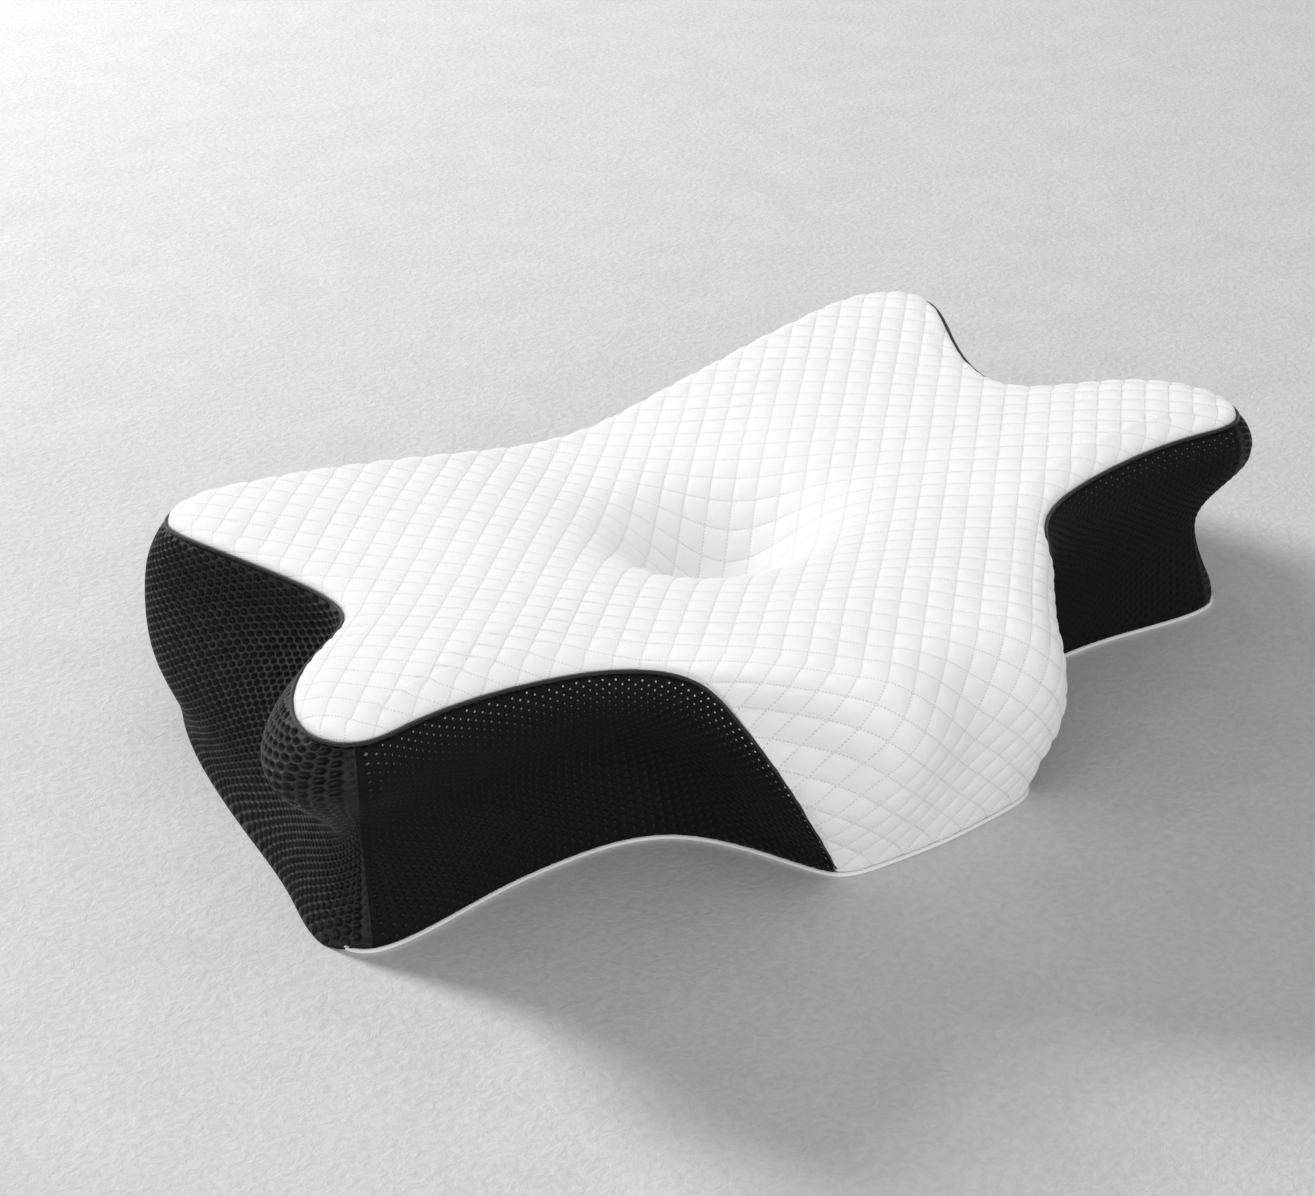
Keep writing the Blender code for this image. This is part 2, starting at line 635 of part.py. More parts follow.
def slider_plate(name, y_low, y_high, finish):
    """One of the slider's two plates, narrower at the tail that closes the chain."""
    half = 0.5 * SLIDER_LENGTH
    tail, nose = SLIDER_X - half, SLIDER_X + half
    wide, narrow = 0.5 * SLIDER_WIDTH, 0.5 * SLIDER_NOSE_WIDTH
    shape = [
        (tail, -narrow),
        (SLIDER_X, -wide),
        (nose - NOSE_CHAMFER, -wide),
        (nose, -wide + NOSE_CHAMFER),
        (nose, wide - NOSE_CHAMFER),
        (nose - NOSE_CHAMFER, wide),
        (SLIDER_X, wide),
        (tail, narrow),
    ]
    outline_xz = [(x, ZIP_Z + z) for x, z in shape]
    return extruded_outline(name, outline_xz, y_low, y_high, finish, (SLIDER_X, SLIDER_FACE_Y, ZIP_Z))


def make_slider(finish):
    face = slider_plate("zip_slider", SLIDER_FACE_Y - PLATE, SLIDER_FACE_Y, finish)
    back = slider_plate("slider_back_plate", SLIDER_BACK_Y, SLIDER_BACK_Y + PLATE, finish)
    post_x = SLIDER_X + POST_X
    half_post = 0.5 * POST_WIDTH
    post = box_object(
        "slider_post",
        (post_x, SLIDER_BACK_Y + PLATE - SUNK, ZIP_Z - half_post),
        (post_x + POST_LENGTH, SLIDER_FACE_Y - PLATE + SUNK, ZIP_Z + half_post),
        finish,
    )
    half_width = 0.5 * BRIDGE_WIDTH
    top = SLIDER_FACE_Y + BRIDGE_RISE
    reach = BRIDGE_HALF + BRIDGE_LEG
    pieces = [back, post]
    for side in (-1.0, 1.0):
        ends = sorted((SLIDER_X + side * BRIDGE_HALF, SLIDER_X + side * reach))
        low = (ends[0], SLIDER_FACE_Y - SUNK, ZIP_Z - half_width)
        pieces.append(box_object("bridge_leg", low, (ends[1], top + SUNK, ZIP_Z + half_width), finish))
    low = (SLIDER_X - reach, top, ZIP_Z - half_width)
    high = (SLIDER_X + reach, top + BRIDGE_LEG, ZIP_Z + half_width)
    pieces.append(box_object("bridge_top", low, high, finish))
    join_solids(face, pieces)


def make_pull_tab(finish):
    """The pull: a tab whose crossbar lies under the slider's bridge, on the hinge axis."""
    axis_y = SLIDER_FACE_Y + PULL_AXIS_RISE
    half = 0.5 * PULL_THICKNESS
    arm_outer = PULL_WINDOW_HALF + PULL_ARM
    centre = -PULL_LENGTH + PULL_END_RADIUS
    end = []
    for k in range(PULL_END_SIDES + 1):
        turn = math.pi * (0.5 + k / PULL_END_SIDES)
        end.append((centre + PULL_END_RADIUS * math.cos(turn), PULL_END_RADIUS * math.sin(turn)))
    outer = [(half, -arm_outer), (half, arm_outer), (-2.0 * PULL_WINDOW, arm_outer), *end]
    outer.append((-2.0 * PULL_WINDOW, -arm_outer))
    outline_xz = [(SLIDER_X + x, ZIP_Z + z) for x, z in outer]
    origin = (SLIDER_X, axis_y, ZIP_Z)
    tab = extruded_outline("zip_pull_tab", outline_xz[::-1], axis_y - half, axis_y + half, finish, origin)
    low = (SLIDER_X - PULL_WINDOW, axis_y - 2.0 * half, ZIP_Z - PULL_WINDOW_HALF)
    high = (SLIDER_X - half, axis_y + 2.0 * half, ZIP_Z + PULL_WINDOW_HALF)
    window = box_object("pull_window", low, high, finish)
    cut = tab.modifiers.new("window", "BOOLEAN")
    cut.operation = "DIFFERENCE"
    cut.solver = "EXACT"
    cut.object = window
    window.hide_render = True
    window.display_type = "WIRE"


def main():
    for old in list(bpy.data.objects):
        bpy.data.objects.remove(old, do_unlink=True)
    columns = all_columns()
    white = material("quilted_white_knit", WHITE_KNIT, 0.85)
    liner = material("liner_knit", LINER_KNIT, 0.9)
    black = material("black_spacer_mesh", BLACK_MESH, 0.7)
    foam = material("memory_foam", FOAM_CREAM, 0.95)
    base = material("base_fabric", BASE_WHITE, 0.8)
    cord = material("seam_cord_black", BLACK_MESH, 0.6)
    piping = material("base_piping_white", WHITE_KNIT, 0.5)
    tape = material("zip_tape", LINER_KNIT, 0.8)
    coil = material("zip_coil", WHITE_KNIT, 0.4)
    metal = material("zip_metal", ZIP_GREY, 0.3, 1.0)
    make_foam_core(columns, foam)
    make_liner(columns, liner)
    make_quilted_top(columns, white)
    make_side_panels(columns, black)
    make_seam_cord(columns, cord)
    make_base(columns, base, piping)
    make_zip_tapes(tape)
    make_zip_chains(coil)
    make_zip_stops(metal)
    make_slider(metal)
    make_pull_tab(metal)


main()
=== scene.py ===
"""Looks of the butterfly neck pillow: quilted top, mesh sides, seam cord, piping, zip, liner and foam."""

import math

import bpy
import numpy as np
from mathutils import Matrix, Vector


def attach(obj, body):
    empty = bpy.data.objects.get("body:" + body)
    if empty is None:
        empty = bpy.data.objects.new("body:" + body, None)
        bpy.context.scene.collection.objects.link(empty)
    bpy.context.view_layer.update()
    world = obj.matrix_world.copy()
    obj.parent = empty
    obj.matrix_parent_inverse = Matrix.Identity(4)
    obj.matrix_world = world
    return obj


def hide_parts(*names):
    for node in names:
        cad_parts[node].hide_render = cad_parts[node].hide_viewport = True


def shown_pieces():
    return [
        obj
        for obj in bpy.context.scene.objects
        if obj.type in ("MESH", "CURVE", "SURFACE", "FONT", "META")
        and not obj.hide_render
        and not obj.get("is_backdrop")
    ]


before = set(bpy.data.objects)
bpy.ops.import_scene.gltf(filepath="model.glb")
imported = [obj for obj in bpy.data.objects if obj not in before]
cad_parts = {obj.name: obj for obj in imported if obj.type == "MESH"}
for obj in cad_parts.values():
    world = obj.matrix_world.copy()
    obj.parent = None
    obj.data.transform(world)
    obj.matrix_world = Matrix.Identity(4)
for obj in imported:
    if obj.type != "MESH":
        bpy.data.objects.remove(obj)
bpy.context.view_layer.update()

MM = 0.001
TAU = math.tau

# ---------------------------------------------------------------- the pillow's shape, as in the CAD

STATIONS = (
    # foot x, foot y, rim x, rim y, waist, bulge, drop (mm)
    (0, -173, 0, -179, 8, 12, 9),
    (36, -171, 44, -183, 10, 11, 9),
    (60, -166, 74, -156, 14, 8, 8),
    (76, -142, 102, -126, 8, 4, 7),
    (111, -90, 132, -94, -4, 3, 6),
    (170, -77, 172, -80, -7, 3, 8),
    (233, -83, 249, -83, -12, 4, 8),
    (278, -84, 281, -85, -15, 7, 6),
    (290, -65, 294, -66, -16, 14, 7),
    (284, -23, 273, -19, -8, 12, 6),
    (276, 37, 222, 31, 10, 8, 5),
    (268, 95, 235, 99, 20, 9, 4),
    (252, 151, 254, 155, 14, 12, 6),
    (228, 184, 232, 181, 4, 8, 10),
    (176, 189, 176, 183, 2, 6, 12),
    (0, 189, 0, 175, 3, 6, 12),
)
CHORD_POWER = 0.7
FOOT_Z = 0.0055
WAIST_LEVEL, SHOULDER_LEVEL, SHOULDER_BULGE = 0.45, 0.78, 0.9
ROLL_WIDTH = 0.014
TOP_Z = 0.113
WING_START_X, WING_FULL_X = 0.092, 0.259
FRONT_WING_RISE, FRONT_WING_Y, FRONT_WING_SPAN = 0.013, -0.050, 0.066
BACK_WING_RISE, BACK_WING_Y, BACK_WING_SPAN = 0.008, 0.152, 0.050
NECK_ROLL_RISE, NECK_ROLL_Y, NECK_ROLL_SPAN, NECK_ROLL_HALF = 0.0065, -0.118, 0.034, 0.110
TROUGH_DEPTH, TROUGH_HALF, TROUGH_Y, TROUGH_SPAN = 0.021, 0.095, 0.035, 0.087
CRADLE_DEPTH, CRADLE_HALF, CRADLE_Y, CRADLE_SPAN = 0.046, 0.045, 0.020, 0.041
FIRST_RING = 0.10
POLE_CIRCLE, EVEN_SHARE = 0.16, 0.90
SEAM_FOOT_C, SEAM_TOP_C, SEAM_STEEPNESS, SEAM_S = 2.2, 4.0, 2.6, 3.0
LOOP = 2 * (len(STATIONS) - 1)
FRONT_CORNER_C, BACK_CORNER_C, ZIP_CORNER_C = 7.0, 13.0, 14.0
CREST_S, TOP_S = 4.0, 5.0


def bell(x):
    return np.exp(-x * x)


def smooth_step(x):
    x = np.clip(x, 0.0, 1.0)
    return x * x * (3.0 - 2.0 * x)


def top_height(x, y):
    wings = smooth_step((np.abs(x) - WING_START_X) / (WING_FULL_X - WING_START_X))
    rise = FRONT_WING_RISE * bell((y - FRONT_WING_Y) / FRONT_WING_SPAN)
    rise = rise + BACK_WING_RISE * bell((y - BACK_WING_Y) / BACK_WING_SPAN)
    roll = NECK_ROLL_RISE * bell(x / NECK_ROLL_HALF) * bell((y - NECK_ROLL_Y) / NECK_ROLL_SPAN)
    open_back = np.where(y < TROUGH_Y, bell((y - TROUGH_Y) / TROUGH_SPAN), 1.0)
    trough = TROUGH_DEPTH * bell(x / TROUGH_HALF) * open_back
    cradle = CRADLE_DEPTH * bell(x / CRADLE_HALF) * bell((y - CRADLE_Y) / CRADLE_SPAN)
    return TOP_Z + wings * rise + roll - trough - cradle


def full_loop():
    half = np.array(STATIONS, float)
    mirrored = half[-2:0:-1].copy()
    mirrored[:, [0, 2]] *= -1.0
    return np.vstack([half, mirrored]) * MM


def second_derivatives(steps, values):
    count = len(values)
    system = np.zeros((count, count))
    right = np.zeros_like(values)
    for i in range(count):
        before, after = steps[i - 1], steps[i]
        following = (i + 1) % count
        system[i, i - 1] += before
        system[i, i] += 2.0 * (before + after)
        system[i, following] += after
        right[i] = 6.0 * ((values[following] - values[i]) / after - (values[i] - values[i - 1]) / before)
    return np.linalg.solve(system, right)


LOOP_VALUES = full_loop()
RIM_CHORDS = np.linalg.norm(np.roll(LOOP_VALUES[:, 2:4], -1, axis=0) - LOOP_VALUES[:, 2:4], axis=1)
LOOP_STEPS = RIM_CHORDS**CHORD_POWER
LOOP_CURVES = second_derivatives(LOOP_STEPS, LOOP_VALUES)


def outline(c):
    c = np.mod(np.asarray(c, float), LOOP)
    i = np.minimum(c.astype(int), LOOP - 1)
    j = (i + 1) % LOOP
    step = LOOP_STEPS[i][..., None]
    b = (c - i)[..., None] * step
    a = step - b
    bend = (LOOP_CURVES[i] * a**3 + LOOP_CURVES[j] * b**3) / (6.0 * step)
    here = (LOOP_VALUES[i] / step - LOOP_CURVES[i] * step / 6.0) * a
    there = (LOOP_VALUES[j] / step - LOOP_CURVES[j] * step / 6.0) * b
    return bend + here + there


def plan_normal(c, first_column):
    ahead = outline(c + 0.01)[..., first_column : first_column + 2]
    behind = outline(c - 0.01)[..., first_column : first_column + 2]
    along = ahead - behind
    along /= np.linalg.norm(along, axis=-1, keepdims=True)
    return np.stack([along[..., 1], -along[..., 0]], axis=-1)


def top_plan(c, share, roll):
    pole = np.array([0.0, CRADLE_Y])
    straight = roll + (pole - roll) * share
    turn = TAU * (c / LOOP - 0.25)
    spoke = np.stack([np.cos(turn), np.sin(turn)], axis=-1)
    even = pole + POLE_CIRCLE * (1.0 - share) * spoke
    evenness = smooth_step((share - FIRST_RING) / (EVEN_SHARE - FIRST_RING))
    return straight + (even - straight) * evenness


def level_points(c):
    values = outline(c)
    foot, rim = values[..., 0:2], values[..., 2:4]
    waist, bulge, drop = values[..., 4:5], values[..., 5:6], values[..., 6]
    out = plan_normal(c, 2)
    roll = rim - out * ROLL_WIDTH
    roll_z = top_height(roll[..., 0], roll[..., 1])
    seam_z = roll_z - drop
    mid = (1.0 - WAIST_LEVEL) * foot + WAIST_LEVEL * rim + out * waist
    first = top_plan(c, FIRST_RING, roll)

    def at(plan, height):
        return np.concatenate([plan, np.broadcast_to(height, plan.shape[:-1])[..., None]], axis=-1)

    return [
        at(foot, FOOT_Z),
        at(mid, WAIST_LEVEL * seam_z),
        at(rim + out * bulge * SHOULDER_BULGE, SHOULDER_LEVEL * seam_z),
        at(rim, seam_z),
        at(roll, roll_z),
        at(first, top_height(first[..., 0], first[..., 1])),
    ]


def skin(c, s):
    """Points of the outer skin: s runs up the wall from 0 to 5, and above 5 it is 5 + the share crossed."""
    c, s = np.broadcast_arrays(np.asarray(c, float), np.asarray(s, float))
    levels = level_points(c)
    levels = [2.0 * levels[0] - levels[1], *levels, 2.0 * levels[-1] - levels[-2]]
    stack = np.stack(levels)
    side = np.clip(s, 0.0, TOP_S - 1e-9)
    i = side.astype(int)
    u = (side - i)[..., None]
    before, here, there, after = (
        np.take_along_axis(stack, (i + k)[None, ..., None], axis=0)[0] for k in range(4)
    )
    cubic = 3.0 * here - before - 3.0 * there + after
    square = 2.0 * before - 5.0 * here + 4.0 * there - after
    wall = 0.5 * (2.0 * here + (there - before) * u + square * u**2 + cubic * u**3)
    share = np.clip(s - TOP_S + FIRST_RING, FIRST_RING, 1.0)[..., None]
    plan = top_plan(c, share, levels[5][..., 0:2])
    top = np.concatenate([plan, top_height(plan[..., 0], plan[..., 1])[..., None]], axis=-1)
    return np.where((s < TOP_S)[..., None], wall, top)


def skin_normal(c, s, nudge=0.01):
    s = np.asarray(s, float)
    low, high = np.maximum(s - nudge, 0.0), s + nudge
    along = skin(c + nudge, s) - skin(c - nudge, s)
    up = skin(c, high) - skin(c, low)
    normal = np.cross(along, up)
    return normal / np.linalg.norm(normal, axis=-1, keepdims=True)


def from_front(c):
    """How far along the loop a position is from the front of the neck lobe, on either side."""
    c = np.mod(c, LOOP)
    return np.minimum(c, LOOP - c)


def seam_level(c):
    share = np.clip((from_front(c) - SEAM_FOOT_C) / (SEAM_TOP_C - SEAM_FOOT_C), 0.0, 1.0)
    return SEAM_S * (1.0 - (1.0 - share) ** SEAM_STEEPNESS)


def height_normal(points):
    """Normals of the top as a height field."""
    x, y = points[:, 0], points[:, 1]
    e = 1e-4
    dx = (top_height(x + e, y) - top_height(x - e, y)) / (2 * e)
    dy = (top_height(x, y + e) - top_height(x, y - e)) / (2 * e)
    normal = np.stack([-dx, -dy, np.ones_like(dx)], axis=-1)
    return normal / np.linalg.norm(normal, axis=-1, keepdims=True)


def arc_length(points):
    steps = np.linalg.norm(np.diff(points, axis=0), axis=-1)
    return np.concatenate([np.zeros((1, *steps.shape[1:])), np.cumsum(steps, axis=0)])


# Arc lengths up and along the wall, on a table of loop positions and levels, and the table's inverse.
TABLE_C = np.linspace(0.0, LOOP, 1201)
TABLE_S = np.linspace(0.0, CREST_S, 97)
TABLE_UP = arc_length(skin(TABLE_C[None, :], TABLE_S[:, None]))
ALONG_S = 1.4
TABLE_ALONG = arc_length(skin(TABLE_C, np.full_like(TABLE_C, ALONG_S)))
INVERSE_H = np.linspace(0.0, 0.22, 441)
INVERSE_S = np.stack([np.interp(INVERSE_H, column, TABLE_S) for column in TABLE_UP.T], axis=1)
POLE = np.array([[0.0, CRADLE_Y, float(top_height(0.0, CRADLE_Y))]])


def look_up(table, across, up):
    """A table's value at fractions of its width and height."""
    at_i = across * (table.shape[1] - 1)
    at_j = np.clip(up, 0.0, 1.0) * (table.shape[0] - 1)
    i = np.minimum(at_i.astype(int), table.shape[1] - 2)
    j = np.minimum(at_j.astype(int), table.shape[0] - 2)
    a, b = at_i - i, at_j - j
    low = table[j, i] * (1 - a) + table[j, i + 1] * a
    high = table[j + 1, i] * (1 - a) + table[j + 1, i + 1] * a
    return low * (1 - b) + high * b


def up_wall(c, s):
    """Arc length from the foot up to level s."""
    return look_up(TABLE_UP, np.mod(c, LOOP) / LOOP, s / CREST_S)


def wall_levels(c, height):
    """Levels at which the wall at loop positions c reaches the arc lengths up from its foot."""
    return look_up(INVERSE_S, np.mod(c, LOOP) / LOOP, height / INVERSE_H[-1])


def wall_point(length, height):
    """Loop position and level of a point given by its lengths along and up the wall."""
    c = np.interp(length, TABLE_ALONG, TABLE_C)
    return c, wall_levels(c, height)


# ---------------------------------------------------------------- meshes


def new_mesh(name, points, quads=(), triangles=(), others=(), attributes=None, uv=None):
    """An object from arrays of quads and triangles and a list of other faces, shaded smooth."""
    points = np.asarray(points, np.float32)
    quads = np.asarray(quads, np.int32).reshape(-1, 4)
    triangles = np.asarray(triangles, np.int32).reshape(-1, 3)
    extra = [np.asarray(face, np.int32) for face in others]
    sizes = [np.full(len(quads), 4), np.full(len(triangles), 3), np.array([len(face) for face in extra])]
    sizes = np.concatenate(sizes).astype(np.int32)
    corners = np.concatenate([quads.ravel(), triangles.ravel(), *extra]).astype(np.int32)
    mesh = bpy.data.meshes.new(name)
    mesh.vertices.add(len(points))
    mesh.vertices.foreach_set("co", points.ravel())
    mesh.loops.add(len(corners))
    mesh.loops.foreach_set("vertex_index", corners)
    mesh.polygons.add(len(sizes))
    mesh.polygons.foreach_set("loop_start", np.concatenate([[0], np.cumsum(sizes)[:-1]]).astype(np.int32))
    mesh.update(calc_edges=True)
    mesh.validate()
    mesh.shade_smooth()
    for key, values in (attributes or {}).items():
        made = mesh.attributes.new(key, "FLOAT", "POINT")
        made.data.foreach_set("value", np.asarray(values, np.float32))
    if uv is not None:
        layer = mesh.uv_layers.new(name="fabric")
        index = np.zeros(len(mesh.loops), np.int32)
        mesh.loops.foreach_get("vertex_index", index)
        layer.data.foreach_set("uv", np.asarray(uv, np.float32)[index].ravel())
    made = bpy.data.objects.new(name, mesh)
    bpy.context.scene.collection.objects.link(made)
    return made


def grid_quads(ids, closed=False):
    """Quads over a 2-D array of vertex numbers, rows upwards."""
    right = np.roll(ids, -1, axis=1) if closed else ids[:, 1:]
    left = ids if closed else ids[:, :-1]
    return np.stack([left[:-1], right[:-1], right[1:], left[1:]], axis=-1).reshape(-1, 4)


def strip(low, high, low_at, high_at):
    """Triangles between two chains of vertices with different spacing, given places along both."""
    faces = []
    i = j = 0
    while i < len(low) - 1 or j < len(high) - 1:
        take_low = j == len(high) - 1 or (i < len(low) - 1 and low_at[i + 1] <= high_at[j + 1])
        if take_low:
            faces.append((low[i], low[i + 1], high[j]))
            i += 1
        else:
            faces.append((low[i], high[j + 1], high[j]))
            j += 1
    return faces


def fan(ring, tip, inwards=False):
    """Triangles from a closed ring to a point."""
    pairs = zip(ring, np.roll(ring, -1))
    return [(b, a, tip) if inwards else (a, b, tip) for a, b in pairs]


def closed_strip(low, high):
    places = [np.linspace(0.0, 1.0, len(ids) + 1) for ids in (low, high)]
    return strip([*low, low[0]], [*high, high[0]], *places)


def even_columns(count):
    """Loop positions evenly spaced along the rim."""
    fine = np.linspace(0.0, LOOP, 6001)
    along = arc_length(outline(fine)[:, 2:4])
    return np.interp(np.arange(count) / count * along[-1], along, fine)


def ripple(x, y, z):
    """A gentle unevenness of the stuffed cover, about -1 to 1."""
    a = np.sin(61.0 * x + 17.0 * y + 1.3) * np.sin(53.0 * y - 23.0 * z + 0.4)
    b = np.sin(103.0 * x - 71.0 * y + 2.1) * np.sin(97.0 * y + 41.0 * z + 1.9)
    return 0.6 * a + 0.4 * b


# ---------------------------------------------------------------- the quilted top

FOOT_REACH, FOOT_DROP = 0.010, 0.0036
CELL = 0.0130
PUFF, SINK, PUFF_POWER, PUFF_ROUNDNESS = 0.00092, 0.0002, 2.4, 0.85
COVER_THICKNESS = 0.0024
SEAM_ALLOWANCE = 0.0009
EDGE_REACH, EDGE_PUFF, TUCK_REACH, TUCK_DEPTH = 0.006, 0.15, 0.0035, 0.0009
UNEVENNESS = 0.00035
LEVEL_ROWS_C, LEVEL_ROWS_FADE, HUNG_C, HUNG_FADE = 2.2, 1.8, 2.4, 2.4
RIM_COLUMNS, SIDE_ROWS, APRON_ROWS, ROLL_ROWS, CREST_ROWS = 1600, 5, 96, 8, 17
EDGE_S = 3.5
RING_STEP, LAST_RING = 0.0052, 0.993
THINNING = ((0.42, 1), (0.66, 2), (0.83, 4), (0.92, 8), (1.0, 16))
INNER_STEP, INNER_WALL_ROWS, INNER_TOP_ROWS, INNER_LAST_RING = 8, 13, 24, 0.86


def foot_drop(height):
    """How far the cover is drawn down at a height above its foot, to meet the piping."""
    return FOOT_DROP * np.clip(1.0 - height / FOOT_REACH, 0.0, 1.0) ** 2


def fabric_place(c, s, points):
    """Where a point of the white panel lies on the flat cloth, in metres."""
    near = from_front(c)
    top_level = np.full_like(c, CREST_S)
    crest = skin(c, top_level)[..., 0:2]
    whole = up_wall(c, top_level)
    down = whole - up_wall(c, s)
    hung = crest + plan_normal(c, 2) * down[..., None]
    # Down the lobe's face the rows of cells stay level, whatever the curve of the crest.
    middle = np.zeros_like(c)
    shift = skin(middle, top_level)[..., 1] - crest[..., 1] + whole - up_wall(middle, top_level)
    shift = shift * (1.0 - smooth_step((near - LEVEL_ROWS_C) / LEVEL_ROWS_FADE)) * down / whole
    straight = np.stack([points[..., 0], crest[..., 1] - down + shift], axis=-1)
    hung = straight + (hung - straight) * smooth_step((near - HUNG_C) / HUNG_FADE)[..., None]
    return np.where((s < CREST_S)[..., None], hung, points[..., 0:2])


def puffing(place):
    """Cell coordinates, and the height of the quilting from 0 on the lines to 1 in a cell's middle."""
    x, y = place[..., 0], place[..., 1]
    cell = np.stack([x + y, x - y], axis=-1) / (CELL * math.sqrt(2))
    off = np.abs(cell - np.floor(cell) - 0.5) * 2.0
    height = (1.0 - off[..., 0] ** PUFF_POWER) * (1.0 - off[..., 1] ** PUFF_POWER)
    return cell, height**PUFF_ROUNDNESS


def quilted_points(c, s, edge):
    """The panel's outer side, puffed in its cells and tucked in at its edge, and its cloth coordinates."""
    points = skin(c, s)
    normal = np.where((s < TOP_S)[:, None], skin_normal(c, s), height_normal(points))
    cell, height = puffing(fabric_place(c, s, points))
    ramp = smooth_step(edge / EDGE_REACH)
    tuck = TUCK_DEPTH * (1.0 - smooth_step(edge / TUCK_REACH))
    lift = (height * (PUFF + SINK) - SINK) * (EDGE_PUFF + (1.0 - EDGE_PUFF) * ramp) - tuck
    lift += UNEVENNESS * ripple(*points.T) * ramp
    outer = points + normal * lift[:, None]
    outer[:, 2] -= foot_drop(points[:, 2] - FOOT_Z)
    return outer, cell


def ring_levels():
    """Levels of the rings over the rolled edge and the top, each with the thinning of its columns."""
    rings = [(EDGE_S + (CREST_S - EDGE_S) * k / ROLL_ROWS, 1) for k in range(ROLL_ROWS)]
    rings += [(CREST_S + k / CREST_ROWS, 1) for k in range(CREST_ROWS)]
    share = FIRST_RING
    while share < LAST_RING:
        thin = next(step for limit, step in THINNING if share < limit)
        rings.append((TOP_S + share - FIRST_RING, thin))
        share += RING_STEP
    return rings


class PanelRows:
    """The rows of points of the white panel's outer side, and the faces between them."""

    def __init__(self, columns, bottom):
        self.columns, self.bottom = columns, bottom
        self.c, self.s, self.edge, self.count = [], [], [], 0
        self.quads, self.triangles = [], []

    def add(self, c, s, edge):
        for kept, values in ((self.c, c), (self.s, s), (self.edge, edge)):
            kept.append(values.ravel())
        self.count += c.size
        return np.arange(self.count - c.size, self.count).reshape(c.shape)

    def add_rings(self):
        """The rings from the panel's first full ring to the pole; gives back the first and the last."""
        first = previous = None
        for level, thin in ring_levels():
            c = self.columns[::thin]
            s = np.full_like(c, level)
            edge = up_wall(c, s) - self.bottom[::thin] if level < CREST_S else np.ones_like(c)
            ids = self.add(c, s, edge)
            if previous is None:
                first = ids
            elif len(previous) == len(ids):
                self.quads.append(grid_quads(np.stack([previous, ids]), True))
            else:
                self.triangles += closed_strip(previous, ids)
            previous = ids
        return first, previous

    def add_skirt(self, chosen, count, first_ring):
        """Rows from the lower edge up to the first ring, over the chosen columns."""
        part = np.linspace(0.0, 1.0, count, endpoint=False)[:, None]
        low = self.bottom[chosen]
        c = np.broadcast_to(self.columns[chosen], (count, len(chosen)))
        height = low + (up_wall(c[0], np.full(len(chosen), EDGE_S)) - low) * part
        ids = self.add(c, wall_levels(c, height), height - low)
        ids = np.vstack([ids, first_ring[chosen][None, :]])
        self.quads.append(grid_quads(ids))
        return ids, np.append(part[:, 0], 1.0)


def inner_levels(columns, bottom):
    """Levels of the rows of the panel's inner side."""
    high = up_wall(columns, np.full_like(columns, EDGE_S))
    parts = np.linspace(0.0, 1.0, INNER_WALL_ROWS)
    rows = [wall_levels(columns, bottom + (high - bottom) * part) for part in parts]
    over = TOP_S + np.linspace(0.0, INNER_LAST_RING, INNER_TOP_ROWS)
    rows += [np.full_like(columns, level) for level in (CREST_S, CREST_S + 0.5, *over)]
    return np.stack(rows)


def make_quilted_top():
    """The white panel: a quilted outer side and a coarser inner side, joined along the lower edge."""
    columns = even_columns(RIM_COLUMNS)
    columns = np.roll(columns, -int(np.argmax(from_front(columns) >= SEAM_TOP_C)))
    lobe = from_front(columns) < SEAM_TOP_C
    side_count = int(np.sum(~lobe))
    columns = np.where(lobe & (columns > LOOP / 2), columns - LOOP, columns)
    rise = np.where(from_front(columns) < SEAM_FOOT_C, 0.0, SEAM_ALLOWANCE)
    bottom = up_wall(columns, seam_level(columns)) + rise

    rows = PanelRows(columns, bottom)
    first_ring, pole_ring = rows.add_rings()
    sides, side_at = rows.add_skirt(np.arange(side_count), SIDE_ROWS, first_ring)
    apron, apron_at = rows.add_skirt(np.arange(side_count, RIM_COLUMNS), APRON_ROWS, first_ring)
    quads, triangles = rows.quads, rows.triangles
    triangles += [face[::-1] for face in strip(sides[:, -1], apron[:, 0], side_at, apron_at)]
    triangles += strip(sides[:, 0], apron[:, -1], side_at, apron_at)
    outer, cell = quilted_points(*(np.concatenate(kept) for kept in (rows.c, rows.s, rows.edge)))
    triangles += fan(pole_ring, len(outer))
    outer = np.vstack([outer, POLE])
    cell = np.vstack([cell, puffing(POLE[:, 0:2])[0]])

    chosen = [np.arange(0, side_count, INNER_STEP), np.arange(side_count, RIM_COLUMNS, INNER_STEP)]
    chosen = np.concatenate(chosen)
    s = inner_levels(columns[chosen], bottom[chosen])
    c = np.broadcast_to(columns[chosen], s.shape)
    inner = (skin(c, s) - skin_normal(c, s) * COVER_THICKNESS).reshape(-1, 3)
    ids = np.arange(s.size).reshape(s.shape) + len(outer)
    quads.append(grid_quads(ids, True)[:, ::-1])
    triangles += fan(ids[-1], len(outer) + s.size, inwards=True)
    low_edge = np.concatenate([sides[0], apron[0]])
    places = np.arange(RIM_COLUMNS + 1), np.append(chosen, RIM_COLUMNS)
    fold = strip([*low_edge, low_edge[0]], [*ids[0], ids[0][0]], *places)
    triangles += [face[::-1] for face in fold]
    points = np.vstack([outer, inner, POLE - np.array([[0.0, 0.0, COVER_THICKNESS]])])
    uv = np.vstack([cell, np.zeros((len(inner) + 1, 2))])
    return new_mesh("quilted_top", points, np.concatenate(quads), triangles, uv=uv)


# ---------------------------------------------------------------- the black mesh panels

